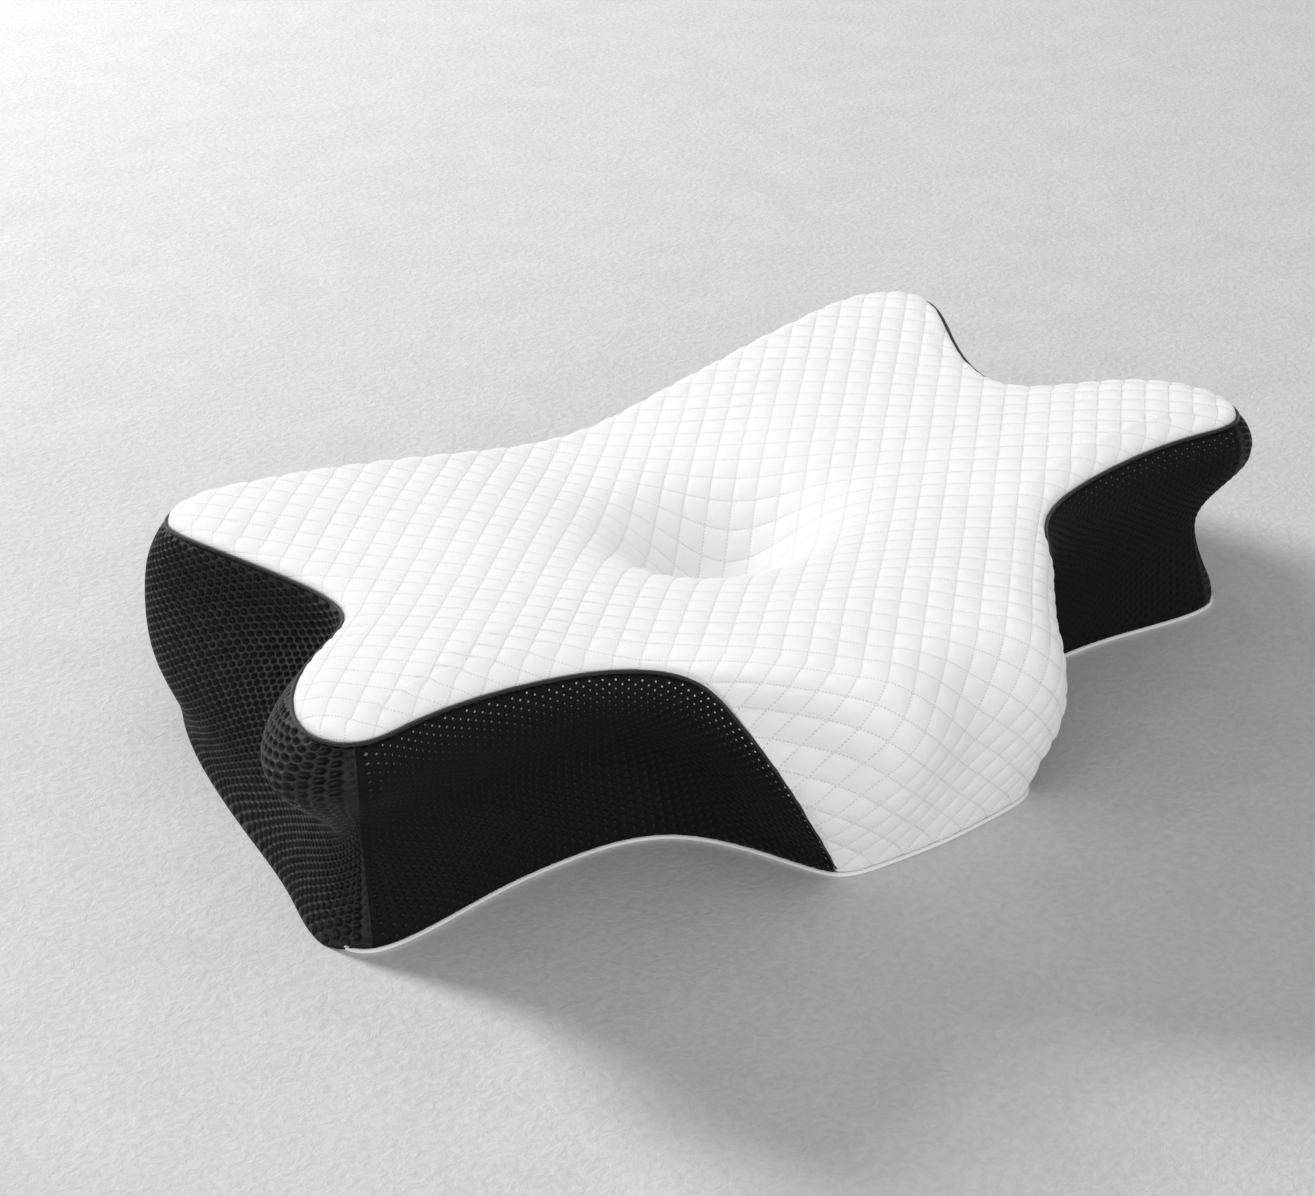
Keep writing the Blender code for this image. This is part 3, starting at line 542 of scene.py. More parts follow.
MESH_PITCH = 0.0045
NET_BORDER, BORDER_TUCK, BORDER_REACH = 0.0024, 0.0008, 0.0022
WRAP_HEIGHT, WRAP_OUT, WRAP_DOWN, WRAP_POWER = 0.022, 0.0052, 0.0014, 1.5
WRAP_START_C, WRAP_START_FADE, WRAP_END_C, WRAP_END_FADE = 7.25, 0.9, 12.9, 0.7
PROUD, PROUD_POWER = 0.0026, 0.7
WIDE_EYE, WIDE_DEPTH, NARROW_EYE, NARROW_DEPTH = 0.00185, 0.0015, 0.00060, 0.0005
EYE_RIM, EYE_TAPER, EYE_SWAY, EYE_JITTER = 0.00016, 0.86, 0.16, 0.00022
CORNER_HEIGHT, RIM_SINK, RIM_SLOPE, WELL_SINK = 0.00012, 0.00018, 0.00022, 0.0005
BORDER_SHADE, CORNER_SHADE, CORNER_REACH = 0.7, 0.44, 0.014
WINDOW_TOP, WINDOW_HALF = 0.0315, 0.1702
HEM_HALF, HEM_CORNER, HEM_RISE, HEM_WIDTH, HEM_DEPTH = 0.1712, 0.004, 0.0010, 0.0021, 0.0007
SIX = np.stack([np.cos(np.arange(6) * TAU / 6), np.sin(np.arange(6) * TAU / 6)], axis=-1)


def wrap_share(c):
    """How far the end panels are drawn down over the piping, 0 at the corners and 1 between them."""
    near = from_front(c)
    begun = smooth_step((near - WRAP_START_C) / WRAP_START_FADE)
    return begun * smooth_step((WRAP_END_C - near) / WRAP_END_FADE)


def net_points(flat, part, sunk):
    """Points of a net from their lengths along and up the wall, sunk below the skin.

    part is the share of the way up the net; between their corners the end panels stand proud and are
    drawn out and down over the piping.
    """
    c, s = wall_point(flat[:, 0], flat[:, 1])
    normal, wrapped = skin_normal(c, s), wrap_share(c)
    proud = PROUD * wrapped * np.sin(math.pi * part) ** PROUD_POWER
    points = skin(c, s) + normal * (proud - sunk)[:, None]
    pull = wrapped * np.clip(1.0 - flat[:, 1] / WRAP_HEIGHT, 0.0, 1.0) ** WRAP_POWER
    points[:, 0:2] += plan_normal(c, 0) * (WRAP_OUT * pull)[:, None]
    points[:, 2] -= WRAP_DOWN * pull + foot_drop(flat[:, 1])
    return points


def net_panel(name, start, end, hole, depth, dots=None, foot_height=None):
    """A spacer mesh panel: a net of six-sided eyes between two loop positions.

    hole is the eyes' radius and depth how deep they go; dots, a function of place, is how much of the light
    liner, brightened by a painted glint, shows at the bottom of an eye, and foot_height gives a net that
    starts above the foot.
    """
    first, last = np.interp([start, end], TABLE_C, TABLE_ALONG)

    def limits(length):
        c = np.interp(np.clip(length, first, last), TABLE_ALONG, TABLE_C)
        low = np.zeros_like(c) if foot_height is None else foot_height(c)
        return low, np.maximum(up_wall(c, seam_level(c)) - SEAM_ALLOWANCE, low + 1e-5)

    # The eyes' centres: columns half a pitch out of step, cut to the panel.
    step = MESH_PITCH * math.sqrt(3) / 2
    column = np.arange(math.floor(first / step) - 1, math.ceil(last / step) + 2)
    row = np.arange(-2, int(0.16 / MESH_PITCH) + 2)
    column, row = np.meshgrid(column, row)
    along = (column * step).ravel()
    up = ((row + 0.5 * (column % 2)) * MESH_PITCH).ravel()
    low, high = limits(along)
    reach = 0.62 * MESH_PITCH
    kept = (up > low - reach) & (up < high + reach) & (along > first - reach) & (along < last + reach)
    along, up, low, high = along[kept], up[kept], low[kept], high[kept]
    margin = np.minimum.reduce([up - low, high - up, along - first, last - along])
    openness = smooth_step((margin - 0.5 * NET_BORDER) / (0.5 * NET_BORDER))
    c, s = wall_point(np.clip(along, first, last), np.clip(up, low, high))
    radius = hole * (1.0 + EYE_SWAY * ripple(along * 6.0, up * 6.0, along)) * (0.05 + 0.95 * openness)
    # The light liner at the bottom of each eye, brightened by a painted glint.
    light = np.zeros_like(c) if dots is None else dots(c, s) * openness

    # Each eye has six corners shared with its neighbours, a rim and a well.
    centre = np.stack([along, up], axis=-1)[:, None, :]
    corners = (centre + SIX * MESH_PITCH / math.sqrt(3)).reshape(-1, 2)
    keys = np.round(corners / (MESH_PITCH * 0.01)).astype(np.int64)
    _, index, inverse = np.unique(keys, axis=0, return_index=True, return_inverse=True)
    shared = corners[index]
    jitter = ripple(shared[:, 0] * 31.0, shared[:, 1] * 37.0, shared[:, 0] * 11.0)
    shared = shared + jitter[:, None] * EYE_JITTER
    rim = centre + SIX * (radius[:, None, None] + EYE_RIM)
    well = centre + SIX * (radius[:, None, None] * EYE_TAPER)
    flat = np.vstack([shared, rim.reshape(-1, 2), well.reshape(-1, 2)])
    flat[:, 0] = np.clip(flat[:, 0], first, last)
    low, high = limits(flat[:, 0])
    flat[:, 1] = np.clip(flat[:, 1], low, high)
    side_gap = np.minimum(flat[:, 0] - first, last - flat[:, 0])
    edge_gap = np.minimum.reduce([flat[:, 1] - low, high - flat[:, 1], side_gap])
    none = np.zeros(len(shared))
    sunk = np.concatenate([
        none - CORNER_HEIGHT,
        np.repeat(RIM_SINK + RIM_SLOPE * openness, 6),
        np.repeat(WELL_SINK + depth * openness, 6),
    ])
    sunk += BORDER_TUCK * (1.0 - smooth_step(edge_gap / BORDER_REACH))
    points = net_points(flat, np.clip((flat[:, 1] - low) / (high - low), 0.0, 1.0), sunk)

    # Painted shade: this mask darkens the yarn into the eyes, and along the panel's edges and towards its
    # corners.
    pit = np.concatenate([none, np.repeat(0.15 * openness, 6), np.repeat(openness, 6)])
    border_shade = BORDER_SHADE * (1.0 - smooth_step(edge_gap / NET_BORDER))
    corner_shade = CORNER_SHADE * (1.0 - smooth_step(side_gap / CORNER_REACH))
    pit = np.maximum.reduce([pit, border_shade, corner_shade])
    # Painted glint: where the light liner at the bottom of an eye is made bright.
    glint = np.concatenate([none, np.zeros(radius.size * 6), np.repeat(light, 6)])

    corner_ids = inverse.reshape(-1, 6)
    rim_ids = len(shared) + np.arange(6 * radius.size).reshape(-1, 6)
    well_ids = rim_ids + 6 * radius.size
    quads = [well_ids[:, [0, 1, 2, 3]], well_ids[:, [0, 3, 4, 5]]]
    for outer, inner in ((corner_ids, rim_ids), (rim_ids, well_ids)):
        outer_next, inner_next = np.roll(outer, -1, axis=1), np.roll(inner, -1, axis=1)
        quads.append(np.stack([outer, outer_next, inner_next, inner], axis=-1).reshape(-1, 4))
    return new_mesh(name, points, np.concatenate(quads), attributes={"pit": pit, "glint": glint})


def window_heights():
    """Heights of the lower edge of the rear net over the zip's window, on a table of loop positions."""
    c = np.linspace(ZIP_CORNER_C - 1.0, LOOP - ZIP_CORNER_C + 1.0, 800)
    heights = np.zeros_like(c)
    levels = np.linspace(0.0, SEAM_S, 61)
    for i, value in enumerate(c):
        if abs(outline(value)[0]) < WINDOW_HALF and abs(value - LOOP / 2) < 1.0:
            z = skin(np.full_like(levels, value), levels)[:, 2]
            heights[i] = up_wall(value, np.interp(WINDOW_TOP, z, levels))
    return c, heights


WINDOW_C, WINDOW_H = window_heights()


def make_nets():
    """The five mesh panels, from the lobe's right side round to its left."""

    def near_top(c, s):
        return np.exp(-((seam_level(c) - s) / 0.5) ** 2)

    # Painted glints: the liner at the eyes' bottoms is brightest near the top of the front panels, fading
    # downwards and towards the corner, and much brighter on the left panel than on the right.
    def left_liner_glints(c, s):
        from_tip = (from_front(c) - SEAM_FOOT_C) / (FRONT_CORNER_C - SEAM_FOOT_C)
        return np.clip(1.25 * near_top(c, s) * np.clip(1.15 - 0.9 * from_tip, 0.0, 1.0) + 0.03, 0.0, 1.0)

    def right_liner_glints(c, s):
        return 0.25 * near_top(c, s)

    def window(c):
        return np.interp(np.mod(c, LOOP), WINDOW_C, WINDOW_H)

    tip = SEAM_FOOT_C + 0.05
    left_corner, left_back = LOOP - FRONT_CORNER_C, LOOP - BACK_CORNER_C
    wide, narrow = (WIDE_EYE, WIDE_DEPTH), (NARROW_EYE, NARROW_DEPTH)
    return [
        net_panel("net_front_right", tip, FRONT_CORNER_C, *narrow, right_liner_glints),
        net_panel("net_end_right", FRONT_CORNER_C, BACK_CORNER_C, *wide),
        net_panel("net_rear", BACK_CORNER_C, left_back, *wide, foot_height=window),
        net_panel("net_end_left", left_back, left_corner, *wide),
        net_panel("net_front_left", left_corner, LOOP - tip, *narrow, left_liner_glints),
    ]


# ---------------------------------------------------------------- cord and pipings


CORD_RADIUS, CORD_SINK = 0.0009, 0.0002
PIPING_OUT, PIPING_HALF_WIDTH, PIPING_HALF_HEIGHT = -0.00085, 0.00155, 0.0012


def circle(sides, width=1.0, height=None):
    """Points round an ellipse with the given half width and half height."""
    turns = np.arange(sides) * TAU / sides
    return np.stack([width * np.cos(turns), (width if height is None else height) * np.sin(turns)], axis=-1)


def unit(vectors):
    return vectors / np.linalg.norm(vectors, axis=1, keepdims=True)


def sweep(name, path, across, up, profile, closed=False):
    """A profile carried along a path, whose own axes at each point are across and up."""
    rings = path[:, None, :] + across[:, None, :] * profile[:, :1] + up[:, None, :] * profile[:, 1:]
    ids = np.arange(rings.shape[0] * rings.shape[1]).reshape(rings.shape[:2])
    quads = grid_quads(np.vstack([ids, ids[:1]]) if closed else ids, True)[:, ::-1]
    return new_mesh(name, rings.reshape(-1, 3), quads, others=[] if closed else [ids[0], ids[-1][::-1]])


def sweep_on_skin(name, path, normal, profile):
    across = unit(np.cross(np.gradient(path, axis=0), normal))
    return sweep(name, path, across, normal, profile)


def make_seam_cord():
    steep = (SEAM_TOP_C - SEAM_FOOT_C) * np.linspace(0.0, 1.0, 160) ** 2
    c = np.concatenate([
        SEAM_FOOT_C + steep,
        np.linspace(SEAM_TOP_C, LOOP - SEAM_TOP_C, 2400)[1:-1],
        LOOP - SEAM_FOOT_C - steep[::-1],
    ])
    level = seam_level(c)
    normal = skin_normal(c, level)
    return sweep_on_skin("seam_cord", skin(c, level) - normal * CORD_SINK, normal, circle(10, CORD_RADIUS))


def make_base_piping():
    c = np.linspace(0.0, LOOP, 1501)[:-1]
    flat = np.zeros((len(c), 1))
    out = np.concatenate([plan_normal(c, 0), flat], axis=1)
    path = np.concatenate([outline(c)[:, 0:2], flat], axis=1)
    up = np.tile([0.0, 0.0, 1.0], (len(c), 1))
    profile = circle(14, PIPING_HALF_WIDTH, PIPING_HALF_HEIGHT) + (PIPING_OUT, PIPING_HALF_HEIGHT)
    return sweep("base_piping_cover", path, out, up, profile, closed=True)


def make_window_hem():
    """The turned edge of the rear mesh, up one side of the zip's window, over it and down again."""
    top = WINDOW_H.max() + HEM_RISE
    turn = np.linspace(0.0, 0.5 * math.pi, 12)
    over = np.linspace(HEM_HALF - HEM_CORNER, 0.0, 120)[1:]
    x = np.concatenate([np.full(16, HEM_HALF), HEM_HALF - HEM_CORNER * (1.0 - np.cos(turn)), over])
    h = np.concatenate([
        np.linspace(0.0005, top - HEM_CORNER, 17)[:-1],
        top - HEM_CORNER * (1.0 - np.sin(turn)),
        np.full_like(over, top),
    ])
    x, h = np.concatenate([x, -x[-2::-1]]), np.concatenate([h, h[-2::-1]])
    table = np.linspace(ZIP_CORNER_C - 0.2, LOOP - ZIP_CORNER_C + 0.2, 600)
    c = np.interp(-x, -outline(table)[:, 0], table)
    s = wall_levels(c, h)
    normal = skin_normal(c, s)
    path = skin(c, s) + normal * 0.0001
    path[:, 2] -= foot_drop(h)
    return sweep_on_skin("rear_hem", path, normal, circle(12, HEM_WIDTH, HEM_DEPTH))


# ---------------------------------------------------------------- liner, foam, base and zip


OUTLINE_COLUMNS = 480
BASE_INSET, BASE_TOP = 0.0031, 0.0022
LINER_DEPTHS, LINER_BASE = (0.0039, 0.0047), (0.0025, 0.0033)
FOAM_DEPTH, FOAM_INSET, FOAM_FOOT_Z = 0.0050, 0.0075, 0.0037
PLATE_BEVEL, PLATE_BEVEL_HEIGHT = 0.0008, 0.0003


def make_dome(name, depth, inner_depth=None):
    """A closed bag under the cover: a shell with an open foot, or a solid body with a flat bottom."""
    columns = even_columns(OUTLINE_COLUMNS)
    wall, over = np.linspace(0.0, CREST_S, 30), TOP_S + np.linspace(0.0, 0.87, 34)
    levels = np.array([*wall, CREST_S + 0.5, *over])
    c, s = np.meshgrid(columns, levels)
    normal, base = skin_normal(c, s), skin(c, s)
    ids = np.arange(c.size).reshape(c.shape)
    points = [(base - normal * depth).reshape(-1, 3), POLE - [[0.0, 0.0, depth]]]
    triangles = fan(ids[-1], c.size)
    quads, others = [grid_quads(ids, True)], []
    count = c.size + 1
    if inner_depth is None:
        ring = outline(columns)[:, 0:2] - plan_normal(columns, 0) * FOAM_INSET
        points.append(np.column_stack([ring, np.full(len(ring), FOAM_FOOT_Z)]))
        foot = np.arange(count, count + len(ring))
        quads.append(grid_quads(np.stack([foot, ids[0]]), True))
        others.append(foot[::-1])
    else:
        points += [(base - normal * inner_depth).reshape(-1, 3), POLE - [[0.0, 0.0, inner_depth]]]
        inner = ids + count
        quads.append(grid_quads(inner, True)[:, ::-1])
        triangles += fan(inner[-1], count + c.size, inwards=True)
        quads.append(grid_quads(np.stack([inner[0], ids[0]]), True))
    return new_mesh(name, np.vstack(points), np.concatenate(quads), triangles, others)


def make_plate(name, low, high):
    """A flat panel with the outline of the pillow's foot, with softly rounded edges."""
    columns = even_columns(OUTLINE_COLUMNS)
    soft = PLATE_BEVEL_HEIGHT
    rings = []
    for inwards, z in ((PLATE_BEVEL, low), (0.0, low + soft), (0.0, high - soft), (PLATE_BEVEL, high)):
        ring = outline(columns)[:, 0:2] - plan_normal(columns, 0) * (BASE_INSET + inwards)
        rings.append(np.column_stack([ring, np.full(len(ring), z)]))
    ids = np.arange(4 * len(columns)).reshape(4, -1)
    return new_mesh(name, np.vstack(rings), grid_quads(ids, True), others=[ids[0][::-1], ids[-1]])


ZIP_Z, ZIP_HALF, ZIP_GAP = 0.0185, 0.168, 0.0008
TAPE_WIDTH, TAPE_FLANGE, TAPE_Y, TAPE_FACE = 0.0116, 0.0036, 0.1877, 0.0006
RIB_PITCH, RIB_HEIGHT, WEAVE_PITCH, WEAVE_HEIGHT = 0.0012, 0.00006, 0.0016, 0.00004
STITCH_ROW, STITCH_WIDTH, STITCH_HEIGHT = 0.0052, 0.0003, 0.00022
STITCH_PITCH, STITCH_LENGTH = 0.0026, 0.0018
TAPE_DIP, TAPE_DIP_REACH = 0.0002, 0.001
CHAIN_HALF, CHAIN_Y, CHAIN_OFF = 0.1566, 0.1896, 0.00165
COIL_PITCH, COIL_RADIUS_Y, COIL_RADIUS_Z, COIL_WIRE, COIL_STEPS = 0.0015, 0.00060, 0.00085, 0.00021, 14


def make_tape(name, side):
    """A woven tape with ribs and a row of stitches; the lower one has a flange down to the piping."""
    width = TAPE_WIDTH if side > 0 else TAPE_WIDTH + TAPE_FLANGE
    x, off = np.meshgrid(np.linspace(-ZIP_HALF, ZIP_HALF, 560), np.linspace(ZIP_GAP, ZIP_GAP + width, 40))
    rib = RIB_HEIGHT * np.sin(off * TAU / RIB_PITCH) + WEAVE_HEIGHT * np.sin((x + off) * TAU / WEAVE_PITCH)
    sewn = np.mod(x, STITCH_PITCH) < STITCH_LENGTH
    stitch = STITCH_HEIGHT * sewn * np.exp(-(((off - STITCH_ROW) / STITCH_WIDTH) ** 2))
    dip = TAPE_DIP * (1.0 - smooth_step((off[-1, -1] - off) / TAPE_DIP_REACH))
    outer = np.stack([x, TAPE_Y + TAPE_FACE + rib + stitch - dip, ZIP_Z + side * off], axis=-1)
    inner = outer.copy()
    inner[..., 1] = TAPE_Y
    front = np.arange(x.size).reshape(x.shape)
    edge = np.concatenate([front[0], front[1:, -1], front[-1, -2::-1], front[-2:0:-1, 0]])
    edge_next = np.roll(edge, -1)
    wall = np.stack([edge, edge_next, edge_next + x.size, edge + x.size], axis=-1)
    quads = np.concatenate([grid_quads(front)[:, ::-1], grid_quads(front + x.size), wall])
    if side < 0:
        quads = quads[:, ::-1]
    return new_mesh(name, np.vstack([outer.reshape(-1, 3), inner.reshape(-1, 3)]), quads)


def make_coil(name, side):
    """One side of the nylon coil, as a flattened helix of wire."""
    turns = 2.0 * CHAIN_HALF / COIL_PITCH
    t = np.linspace(0.0, turns * TAU, int(turns * COIL_STEPS))
    path = np.stack([
        -CHAIN_HALF + t / TAU * COIL_PITCH,
        CHAIN_Y + COIL_RADIUS_Y * np.sin(t),
        ZIP_Z + side * CHAIN_OFF + COIL_RADIUS_Z * np.cos(t),
    ], axis=-1)
    along = unit(np.gradient(path, axis=0))
    across = unit(np.cross(along, np.tile([1.0, 0.0, 0.0], (len(t), 1))))
    return sweep(name, path, across, np.cross(across, along), circle(6, COIL_WIRE))


# ---------------------------------------------------------------- camera, light and floor

CAMERA_AZIMUTH, CAMERA_ELEVATION = math.radians(-35.7), math.radians(29.9)
CAMERA_DISTANCE, CAMERA_TARGET = 1.438, Vector((-0.019, 0.048, 0.044))
CAMERA_LENS, CAMERA_SENSOR = 72.03, 36.0
LIGHT_AIM = Vector((0.0, 0.0, 0.05))
WORLD_STRENGTH = 0.41
FLOOR_HALF = 6.0
# Name, place, diameter and power of each light. The photo's floor darkens towards the lower right while the
# pillow's top stays evenly bright, so the floor and the pillow have lights of their own.
FLOOR_LIGHTS = (
    ("floor_key", (-1.51, 3.87, 1.66), 1.05, 275.0),
    ("floor_fill", (-0.9, -1.9, 1.0), 1.6, 13.0),
)
PILLOW_LIGHTS = (
    ("key", (-0.85, 2.10, 1.08), 1.0, 21.0),
    ("top_soft", (-0.3, 0.7, 2.0), 1.6, 24.0),
    ("front_fill", (-0.8, -2.0, 0.5), 1.2, 18.5),
)


def make_camera():
    data = bpy.data.cameras.new("camera")
    data.sensor_width, data.lens = CAMERA_SENSOR, CAMERA_LENS
    made = bpy.data.objects.new("camera", data)
    a, e = CAMERA_AZIMUTH, CAMERA_ELEVATION
    back = Vector((math.sin(a) * math.cos(e), -math.cos(a) * math.cos(e), math.sin(e)))
    made.location = CAMERA_TARGET + back * CAMERA_DISTANCE
    made.rotation_euler = back.to_track_quat("Z", "Y").to_euler()
    bpy.context.scene.collection.objects.link(made)
    bpy.context.scene.camera = made


def area_light(name, place, size, energy, receivers):
    """A round soft light aimed at the pillow, which lights only the receivers."""
    data = bpy.data.lights.new(name, "AREA")
    data.shape, data.size, data.energy = "DISK", size, energy
    made = bpy.data.objects.new(name, data)
    made.location = place
    made.rotation_euler = (Vector(place) - LIGHT_AIM).to_track_quat("Z", "Y").to_euler()
    bpy.context.scene.collection.objects.link(made)
    lit = bpy.data.collections.new(name + "_receivers")
    for piece in receivers:
        lit.objects.link(piece)
    made.light_linking.receiver_collection = lit


def make_lights(floor):
    for lights, receivers in ((FLOOR_LIGHTS, [floor]), (PILLOW_LIGHTS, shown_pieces())):
        for light in lights:
            area_light(*light, receivers)
    world = bpy.data.worlds.new("studio")
    bpy.context.scene.world = world
    world.use_nodes = True
    background = world.node_tree.nodes["Background"]
    background.inputs["Color"].default_value = (1.0, 1.0, 1.0, 1.0)
    background.inputs["Strength"].default_value = WORLD_STRENGTH


def make_floor(finish):
    axis = (-FLOOR_HALF, FLOOR_HALF)
    points = [(x, y, 0.0) for y in axis for x in axis]
    floor = new_mesh("floor", points, [(0, 1, 3, 2)])
    floor.data.materials.append(finish)
    floor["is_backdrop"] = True
    return floor


# ---------------------------------------------------------------- materials

LINE_SHARE, STITCHES = 0.060, 8.0


class Nodes:
    """A short way of writing a material's nodes."""

    def __init__(self, name, roughness=0.8, **sockets):
        self.material = bpy.data.materials.new(name)
        self.material.use_nodes = True
        self.tree = self.material.node_tree
        self.shader = self.tree.nodes["Principled BSDF"]
        self.set(self.shader, "Roughness", roughness)
        for key, value in sockets.items():
            self.set(self.shader, key.replace("_", " "), value)

    def set(self, node, socket, value):
        target = node.inputs[socket]
        if isinstance(value, bpy.types.NodeSocket):
            self.tree.links.new(value, target)
        elif isinstance(value, tuple) and target.type == "RGBA" and len(value) == 3:
            target.default_value = (*value, 1.0)
        else:
            target.default_value = value

    def add(self, kind, output=0, **values):
        """A node: in_0, in_1 and so on and capitalised names set sockets, the others set properties."""
        node = self.tree.nodes.new(kind)
        for key, value in values.items():
            if key.startswith("in_"):
                self.set(node, int(key[3:]), value)
            elif key[0].isupper():
                self.set(node, key, value)
            else:
                setattr(node, key, value)
        return node.outputs[output]

    def math(self, operation, a, b=0.0):
        return self.add("ShaderNodeMath", operation=operation, in_0=a, in_1=b)

    def total(self, *terms):
        """The sum of values times their weights."""
        made = 0.0
        for value, weight in terms:
            made = self.math("ADD", made, self.math("MULTIPLY", value, weight))
        return made

    def blend(self, share, first, second):
        return self.add("ShaderNodeMix", output=2, data_type="RGBA", in_0=share, in_6=first, in_7=second)

    def noise(self, vector, scale, detail=2.0, roughness=0.5, output=0):
        return self.add("ShaderNodeTexNoise", output, Vector=vector, Scale=scale, Detail=detail,
                        Roughness=roughness)

    def wave(self, vector, scale, distortion=0.0, detail=2.0, bands="X"):
        return self.add("ShaderNodeTexWave", output=1, Vector=vector, Scale=scale, Distortion=distortion,
                        Detail=detail, bands_direction=bands)

    def place(self):
        return self.add("ShaderNodeTexCoord", output=3)

    def scaled(self, vector, factors):
        return self.add("ShaderNodeVectorMath", operation="MULTIPLY", in_0=vector, in_1=factors)

    def band(self, value, low, high):
        """0 below low, 1 above high, smooth between."""
        return self.add("ShaderNodeMapRange", interpolation_type="SMOOTHSTEP",
                        in_0=value, in_1=low, in_2=high)

    def below(self, value, low, high):
        return self.math("SUBTRACT", 1.0, self.band(value, low, high))

    def from_middle(self, value, shift):
        """How far a value is from the middle of its unit cell, from 0 to a half."""
        fraction = self.math("FRACT", self.math("ADD", value, shift))
        return self.math("ABSOLUTE", self.math("SUBTRACT", fraction, 0.5))

    def bump(self, height, strength, distance):
        made = self.add("ShaderNodeBump", Height=height, Strength=strength, Distance=distance)
        self.set(self.shader, "Normal", made)

    def colour(self, value):
        self.set(self.shader, "Base Color", value)


def quilt_material():
    """White knit with small stitch holes along the quilting and a fine slanting rib in the cells."""
    m = Nodes("quilted_knit", 0.85, Sheen_Weight=0.25, Sheen_Roughness=0.5, Specular_IOR_Level=0.2)
    uv, place = m.add("ShaderNodeUVMap", uv_map="fabric"), m.place()
    u, v = (m.add("ShaderNodeSeparateXYZ", output=k, in_0=uv) for k in (0, 1))
    lines, dots = [], []
    for across, along in ((u, v), (v, u)):
        off = m.from_middle(across, 0.5)
        beat = m.from_middle(m.math("MULTIPLY", along, STITCHES), 0.0)
        lines.append(m.below(off, 0.0, LINE_SHARE))
        dots.append(m.math("MULTIPLY", m.below(off, 0.012, 0.042), m.below(beat, 0.12, 0.32)))
    line, dot = m.math("MAXIMUM", *lines), m.math("MAXIMUM", *dots)
    knit = m.wave(uv, 4.2, 0.8, 1.0)
    white = m.blend(m.noise(place, 14.0, 3.0), (0.83, 0.83, 0.84), (0.89, 0.89, 0.895))
    # The stitch holes are painted shade: the knit turns grey where their dots fall.
    m.colour(m.blend(m.math("MULTIPLY", dot, 0.34), white, (0.40, 0.40, 0.42)))
    creases, fine = m.noise(place, 120.0, 3.0, 0.6), m.noise(place, 900.0)
    m.bump(m.total((line, -0.16), (dot, -0.55), (knit, 0.12), (creases, 0.55), (fine, 0.10)), 0.6, 0.0006)
    return m.material


def net_material(name, roughness, sheen, specular, dull, bright):
    """Black yarn with painted shade that darkens it into the eyes, along the edges and towards the corners,
    and the light liner, brightened by a painted glint, at the bottom of some eyes.
    """
    m = Nodes(name, roughness, Sheen_Weight=sheen, Sheen_Roughness=0.4, Specular_IOR_Level=specular)
    pit, glint = (m.add("ShaderNodeAttribute", output=2, attribute_name=key) for key in ("pit", "glint"))
    place = m.place()
    yarn, uneven = m.wave(place, 700.0, 4.0), m.noise(place, 160.0, 3.0)
    # Painted shade: the yarn goes near-black into the eyes and along the panels' edges and corners.
    dark = m.blend(m.band(pit, 0.12, 0.45), m.blend(uneven, dull, bright), (0.0008, 0.0008, 0.0009))
    # The light liner at the bottom of some eyes, made bright as a painted glint.
    m.colour(m.blend(m.math("MULTIPLY", glint, m.band(pit, 0.5, 0.95)), dark, (0.78, 0.78, 0.78)))
    m.bump(m.total((yarn, 0.5), (uneven, 1.0)), 0.35, 0.0004)
    return m.material


def cord_material():
    m = Nodes("seam_cord", 0.5, Sheen_Weight=0.2, Sheen_Roughness=0.4, Specular_IOR_Level=0.4)
    weave = m.wave(m.place(), 420.0, 2.0, 1.0)
    m.colour(m.blend(weave, (0.006, 0.006, 0.0065), (0.016, 0.016, 0.017)))
    m.bump(weave, 0.4, 0.0003)
    return m.material


def piping_material():
    m = Nodes("piping_satin", 0.42, Sheen_Weight=0.2, Sheen_Roughness=0.4, Specular_IOR_Level=0.45)
    place = m.place()
    weave, patch = m.wave(place, 260.0, 1.2, 1.0, "DIAGONAL"), m.noise(place, 30.0, 3.0)
    m.colour(m.blend(patch, (0.80, 0.80, 0.81), (0.88, 0.88, 0.885)))
    m.bump(m.total((weave, 0.5), (patch, 1.0)), 0.3, 0.0004)
    return m.material


def cloth_material(name, first, second, scale):
    m = Nodes(name, 0.85, Sheen_Weight=0.15, Sheen_Roughness=0.5)
    place = m.place()
    warp, weft = m.wave(place, scale), m.wave(place, scale, bands="Y")
    m.colour(m.blend(m.noise(place, 25.0, 3.0), first, second))
    m.bump(m.math("MULTIPLY", warp, weft), 0.5, 0.0004)
    return m.material


def foam_material():
    m = Nodes("memory_foam", 0.95)
    place = m.place()
    m.colour(m.blend(m.noise(place, 20.0, 3.0), (0.86, 0.81, 0.66), (0.93, 0.89, 0.77)))
    m.bump(m.add("ShaderNodeTexVoronoi", Vector=place, Scale=900.0), 0.6, 0.0005)
    return m.material


def metal_material():
    m = Nodes("zip_metal", 0.32, Metallic=1.0)
    rub = m.noise(m.scaled(m.place(), (60.0, 900.0, 900.0)), 1.0)
    m.colour(m.blend(rub, (0.55, 0.55, 0.57), (0.72, 0.72, 0.74)))
    m.bump(rub, 0.15, 0.0001)
    return m.material


def coil_material():
    m = Nodes("zip_nylon", 0.35, Specular_IOR_Level=0.5)
    place = m.place()
    m.colour(m.blend(m.noise(place, 80.0), (0.78, 0.78, 0.78), (0.86, 0.86, 0.86)))
    m.bump(m.noise(place, 1500.0, 1.0), 0.1, 0.0001)
    return m.material


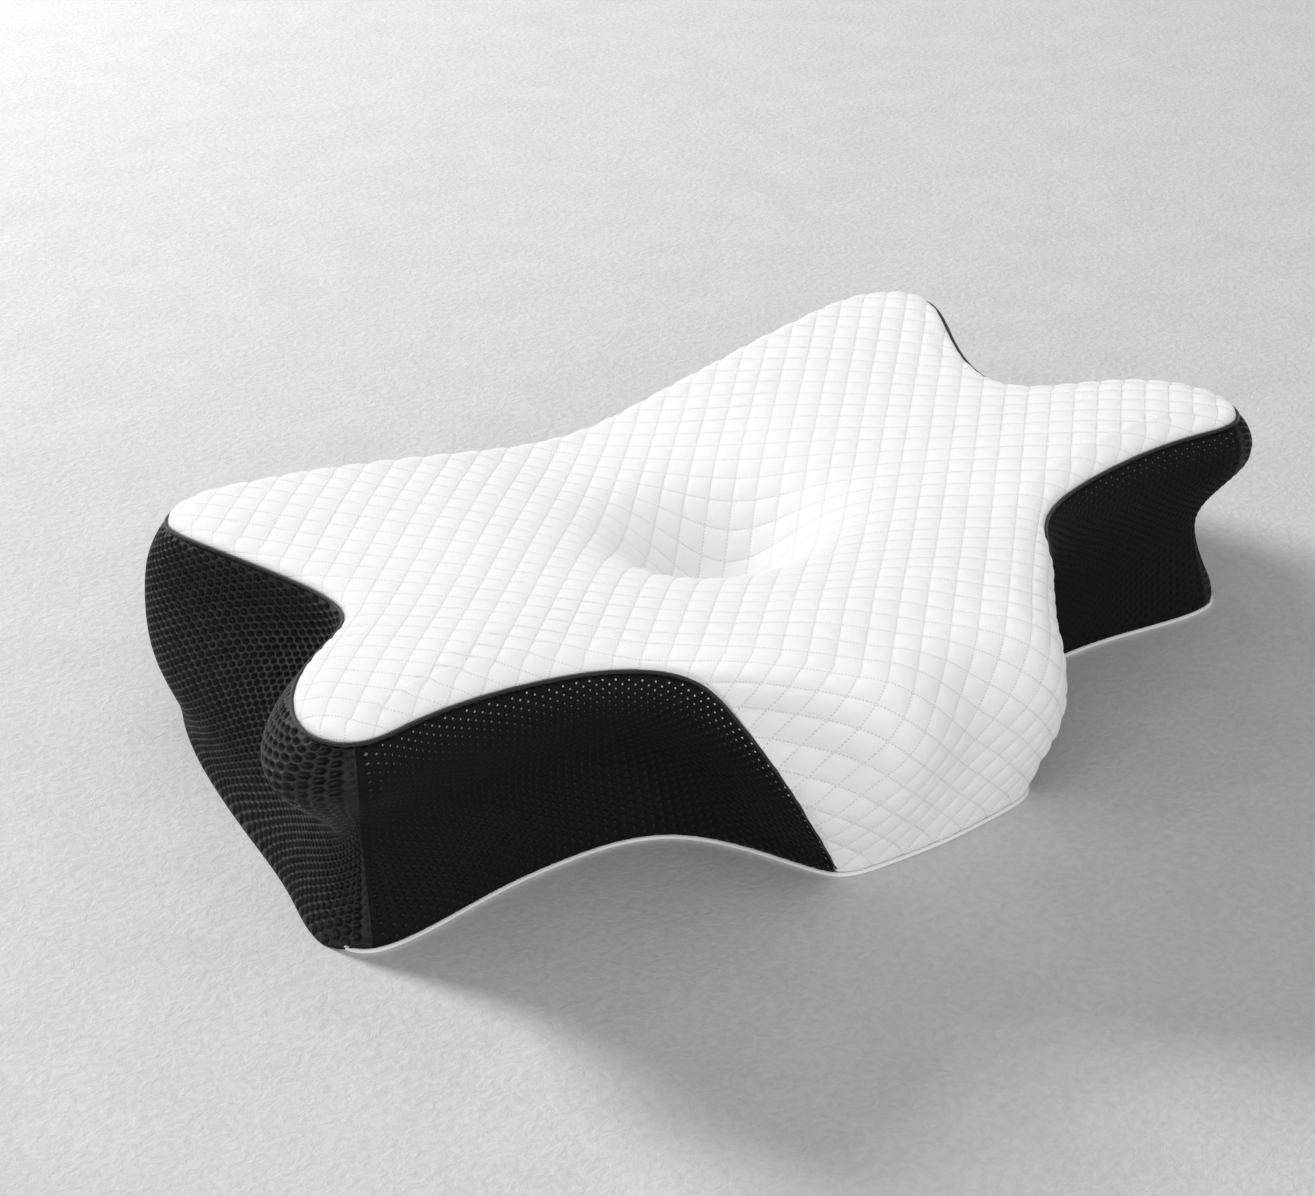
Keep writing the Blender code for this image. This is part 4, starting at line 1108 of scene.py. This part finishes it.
def floor_material():
    """Pale paper with short fibres that wander a little."""
    m = Nodes("paper_floor", 0.9, Specular_IOR_Level=0.2)
    place = m.place()
    wander = m.scaled(m.noise(place, 70.0, output=1), (0.012, 0.012, 0.0))
    bent = m.add("ShaderNodeVectorMath", operation="ADD", in_0=place, in_1=wander)
    cloud, fibre = m.noise(place, 22.0, 5.0, 0.6), m.noise(bent, 230.0, 3.0, 0.6)
    tone = m.band(m.total((cloud, 0.35), (fibre, 0.65)), 0.3, 0.7)
    m.colour(m.blend(tone, (0.60, 0.60, 0.605), (0.70, 0.70, 0.70)))
    m.bump(fibre, 0.5, 0.0009)
    return m.material


# ---------------------------------------------------------------- putting it together


def dress(piece, finish, slot, *nodes, body="pillow"):
    piece.data.materials.clear()
    piece.data.materials.append(finish)
    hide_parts(*nodes)
    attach(piece, body)


METAL_NODES = ("zip_top_stop_upper", "zip_top_stop_lower", "zip_bottom_stop", "zip_slider", "zip_pull_tab")
EDGE_ROUNDING = 0.00022


def show_metal(finish):
    """The stops, the slider and its tab stay as CAD nodes, with soft edges."""
    for node in METAL_NODES:
        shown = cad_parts[node]
        shown.data.materials.clear()
        shown.data.materials.append(finish)
        rounded = shown.modifiers.new("rounded", "BEVEL")
        rounded.width, rounded.segments, rounded.limit_method = EDGE_ROUNDING, 2, "ANGLE"


bpy.context.scene.view_settings.view_transform = "Standard"
make_camera()
floor = make_floor(floor_material())

top = make_quilted_top()
dress(top, quilt_material(), "quilted_white_knit", "quilted_top_panel")

open_net = net_material("black_mesh", 0.45, 0.05, 0.32, (0.006, 0.006, 0.0065), (0.016, 0.016, 0.017))
# The front panels get a darker copy of the same black yarn: painted shade for the panels that face away
# from the key light.
fine_shaded_net = net_material("black_fine_mesh_shaded", 0.60, 0.03, 0.15, (0.002, 0.002, 0.0022), (0.005, 0.005, 0.0054))
NET_NODES = (
    ("mesh_front_right", fine_shaded_net),
    ("mesh_end_right", open_net),
    ("mesh_rear", open_net),
    ("mesh_end_left", open_net),
    ("mesh_front_left", fine_shaded_net),
)
for piece, (node, finish) in zip(make_nets(), NET_NODES):
    dress(piece, finish, "black_spacer_mesh", node)
binding = cord_material()
dress(make_seam_cord(), binding, "seam_cord_black", "rim_seam_cord")
dress(make_window_hem(), binding, "black_spacer_mesh", "mesh_rear")
dress(make_base_piping(), piping_material(), "base_piping_white", "base_piping")

base_weave = cloth_material("base_weave", (0.74, 0.74, 0.75), (0.84, 0.84, 0.85), 240.0)
liner_knit = cloth_material("liner_jersey", (0.74, 0.74, 0.73), (0.82, 0.82, 0.81), 300.0)
dress(make_plate("base_cloth", 0.0, BASE_TOP), base_weave, "base_fabric", "base_panel")
dress(make_dome("liner_bag", *LINER_DEPTHS), liner_knit, "liner_knit", "liner_top")
dress(make_plate("liner_bottom", *LINER_BASE), liner_knit, "liner_knit", "liner_base")
foam = make_dome("foam_body", FOAM_DEPTH)
dress(foam, foam_material(), "memory_foam", "foam_core")

tape_weave = cloth_material("tape_weave", (0.70, 0.70, 0.70), (0.80, 0.80, 0.80), 500.0)
nylon = coil_material()
for side, word in ((1.0, "upper"), (-1.0, "lower")):
    dress(make_tape("tape_" + word, side), tape_weave, "zip_tape", "zip_tape_" + word)
    dress(make_coil("coil_" + word, side), nylon, "zip_coil", "zip_coil_" + word)
show_metal(metal_material())

make_lights(floor)
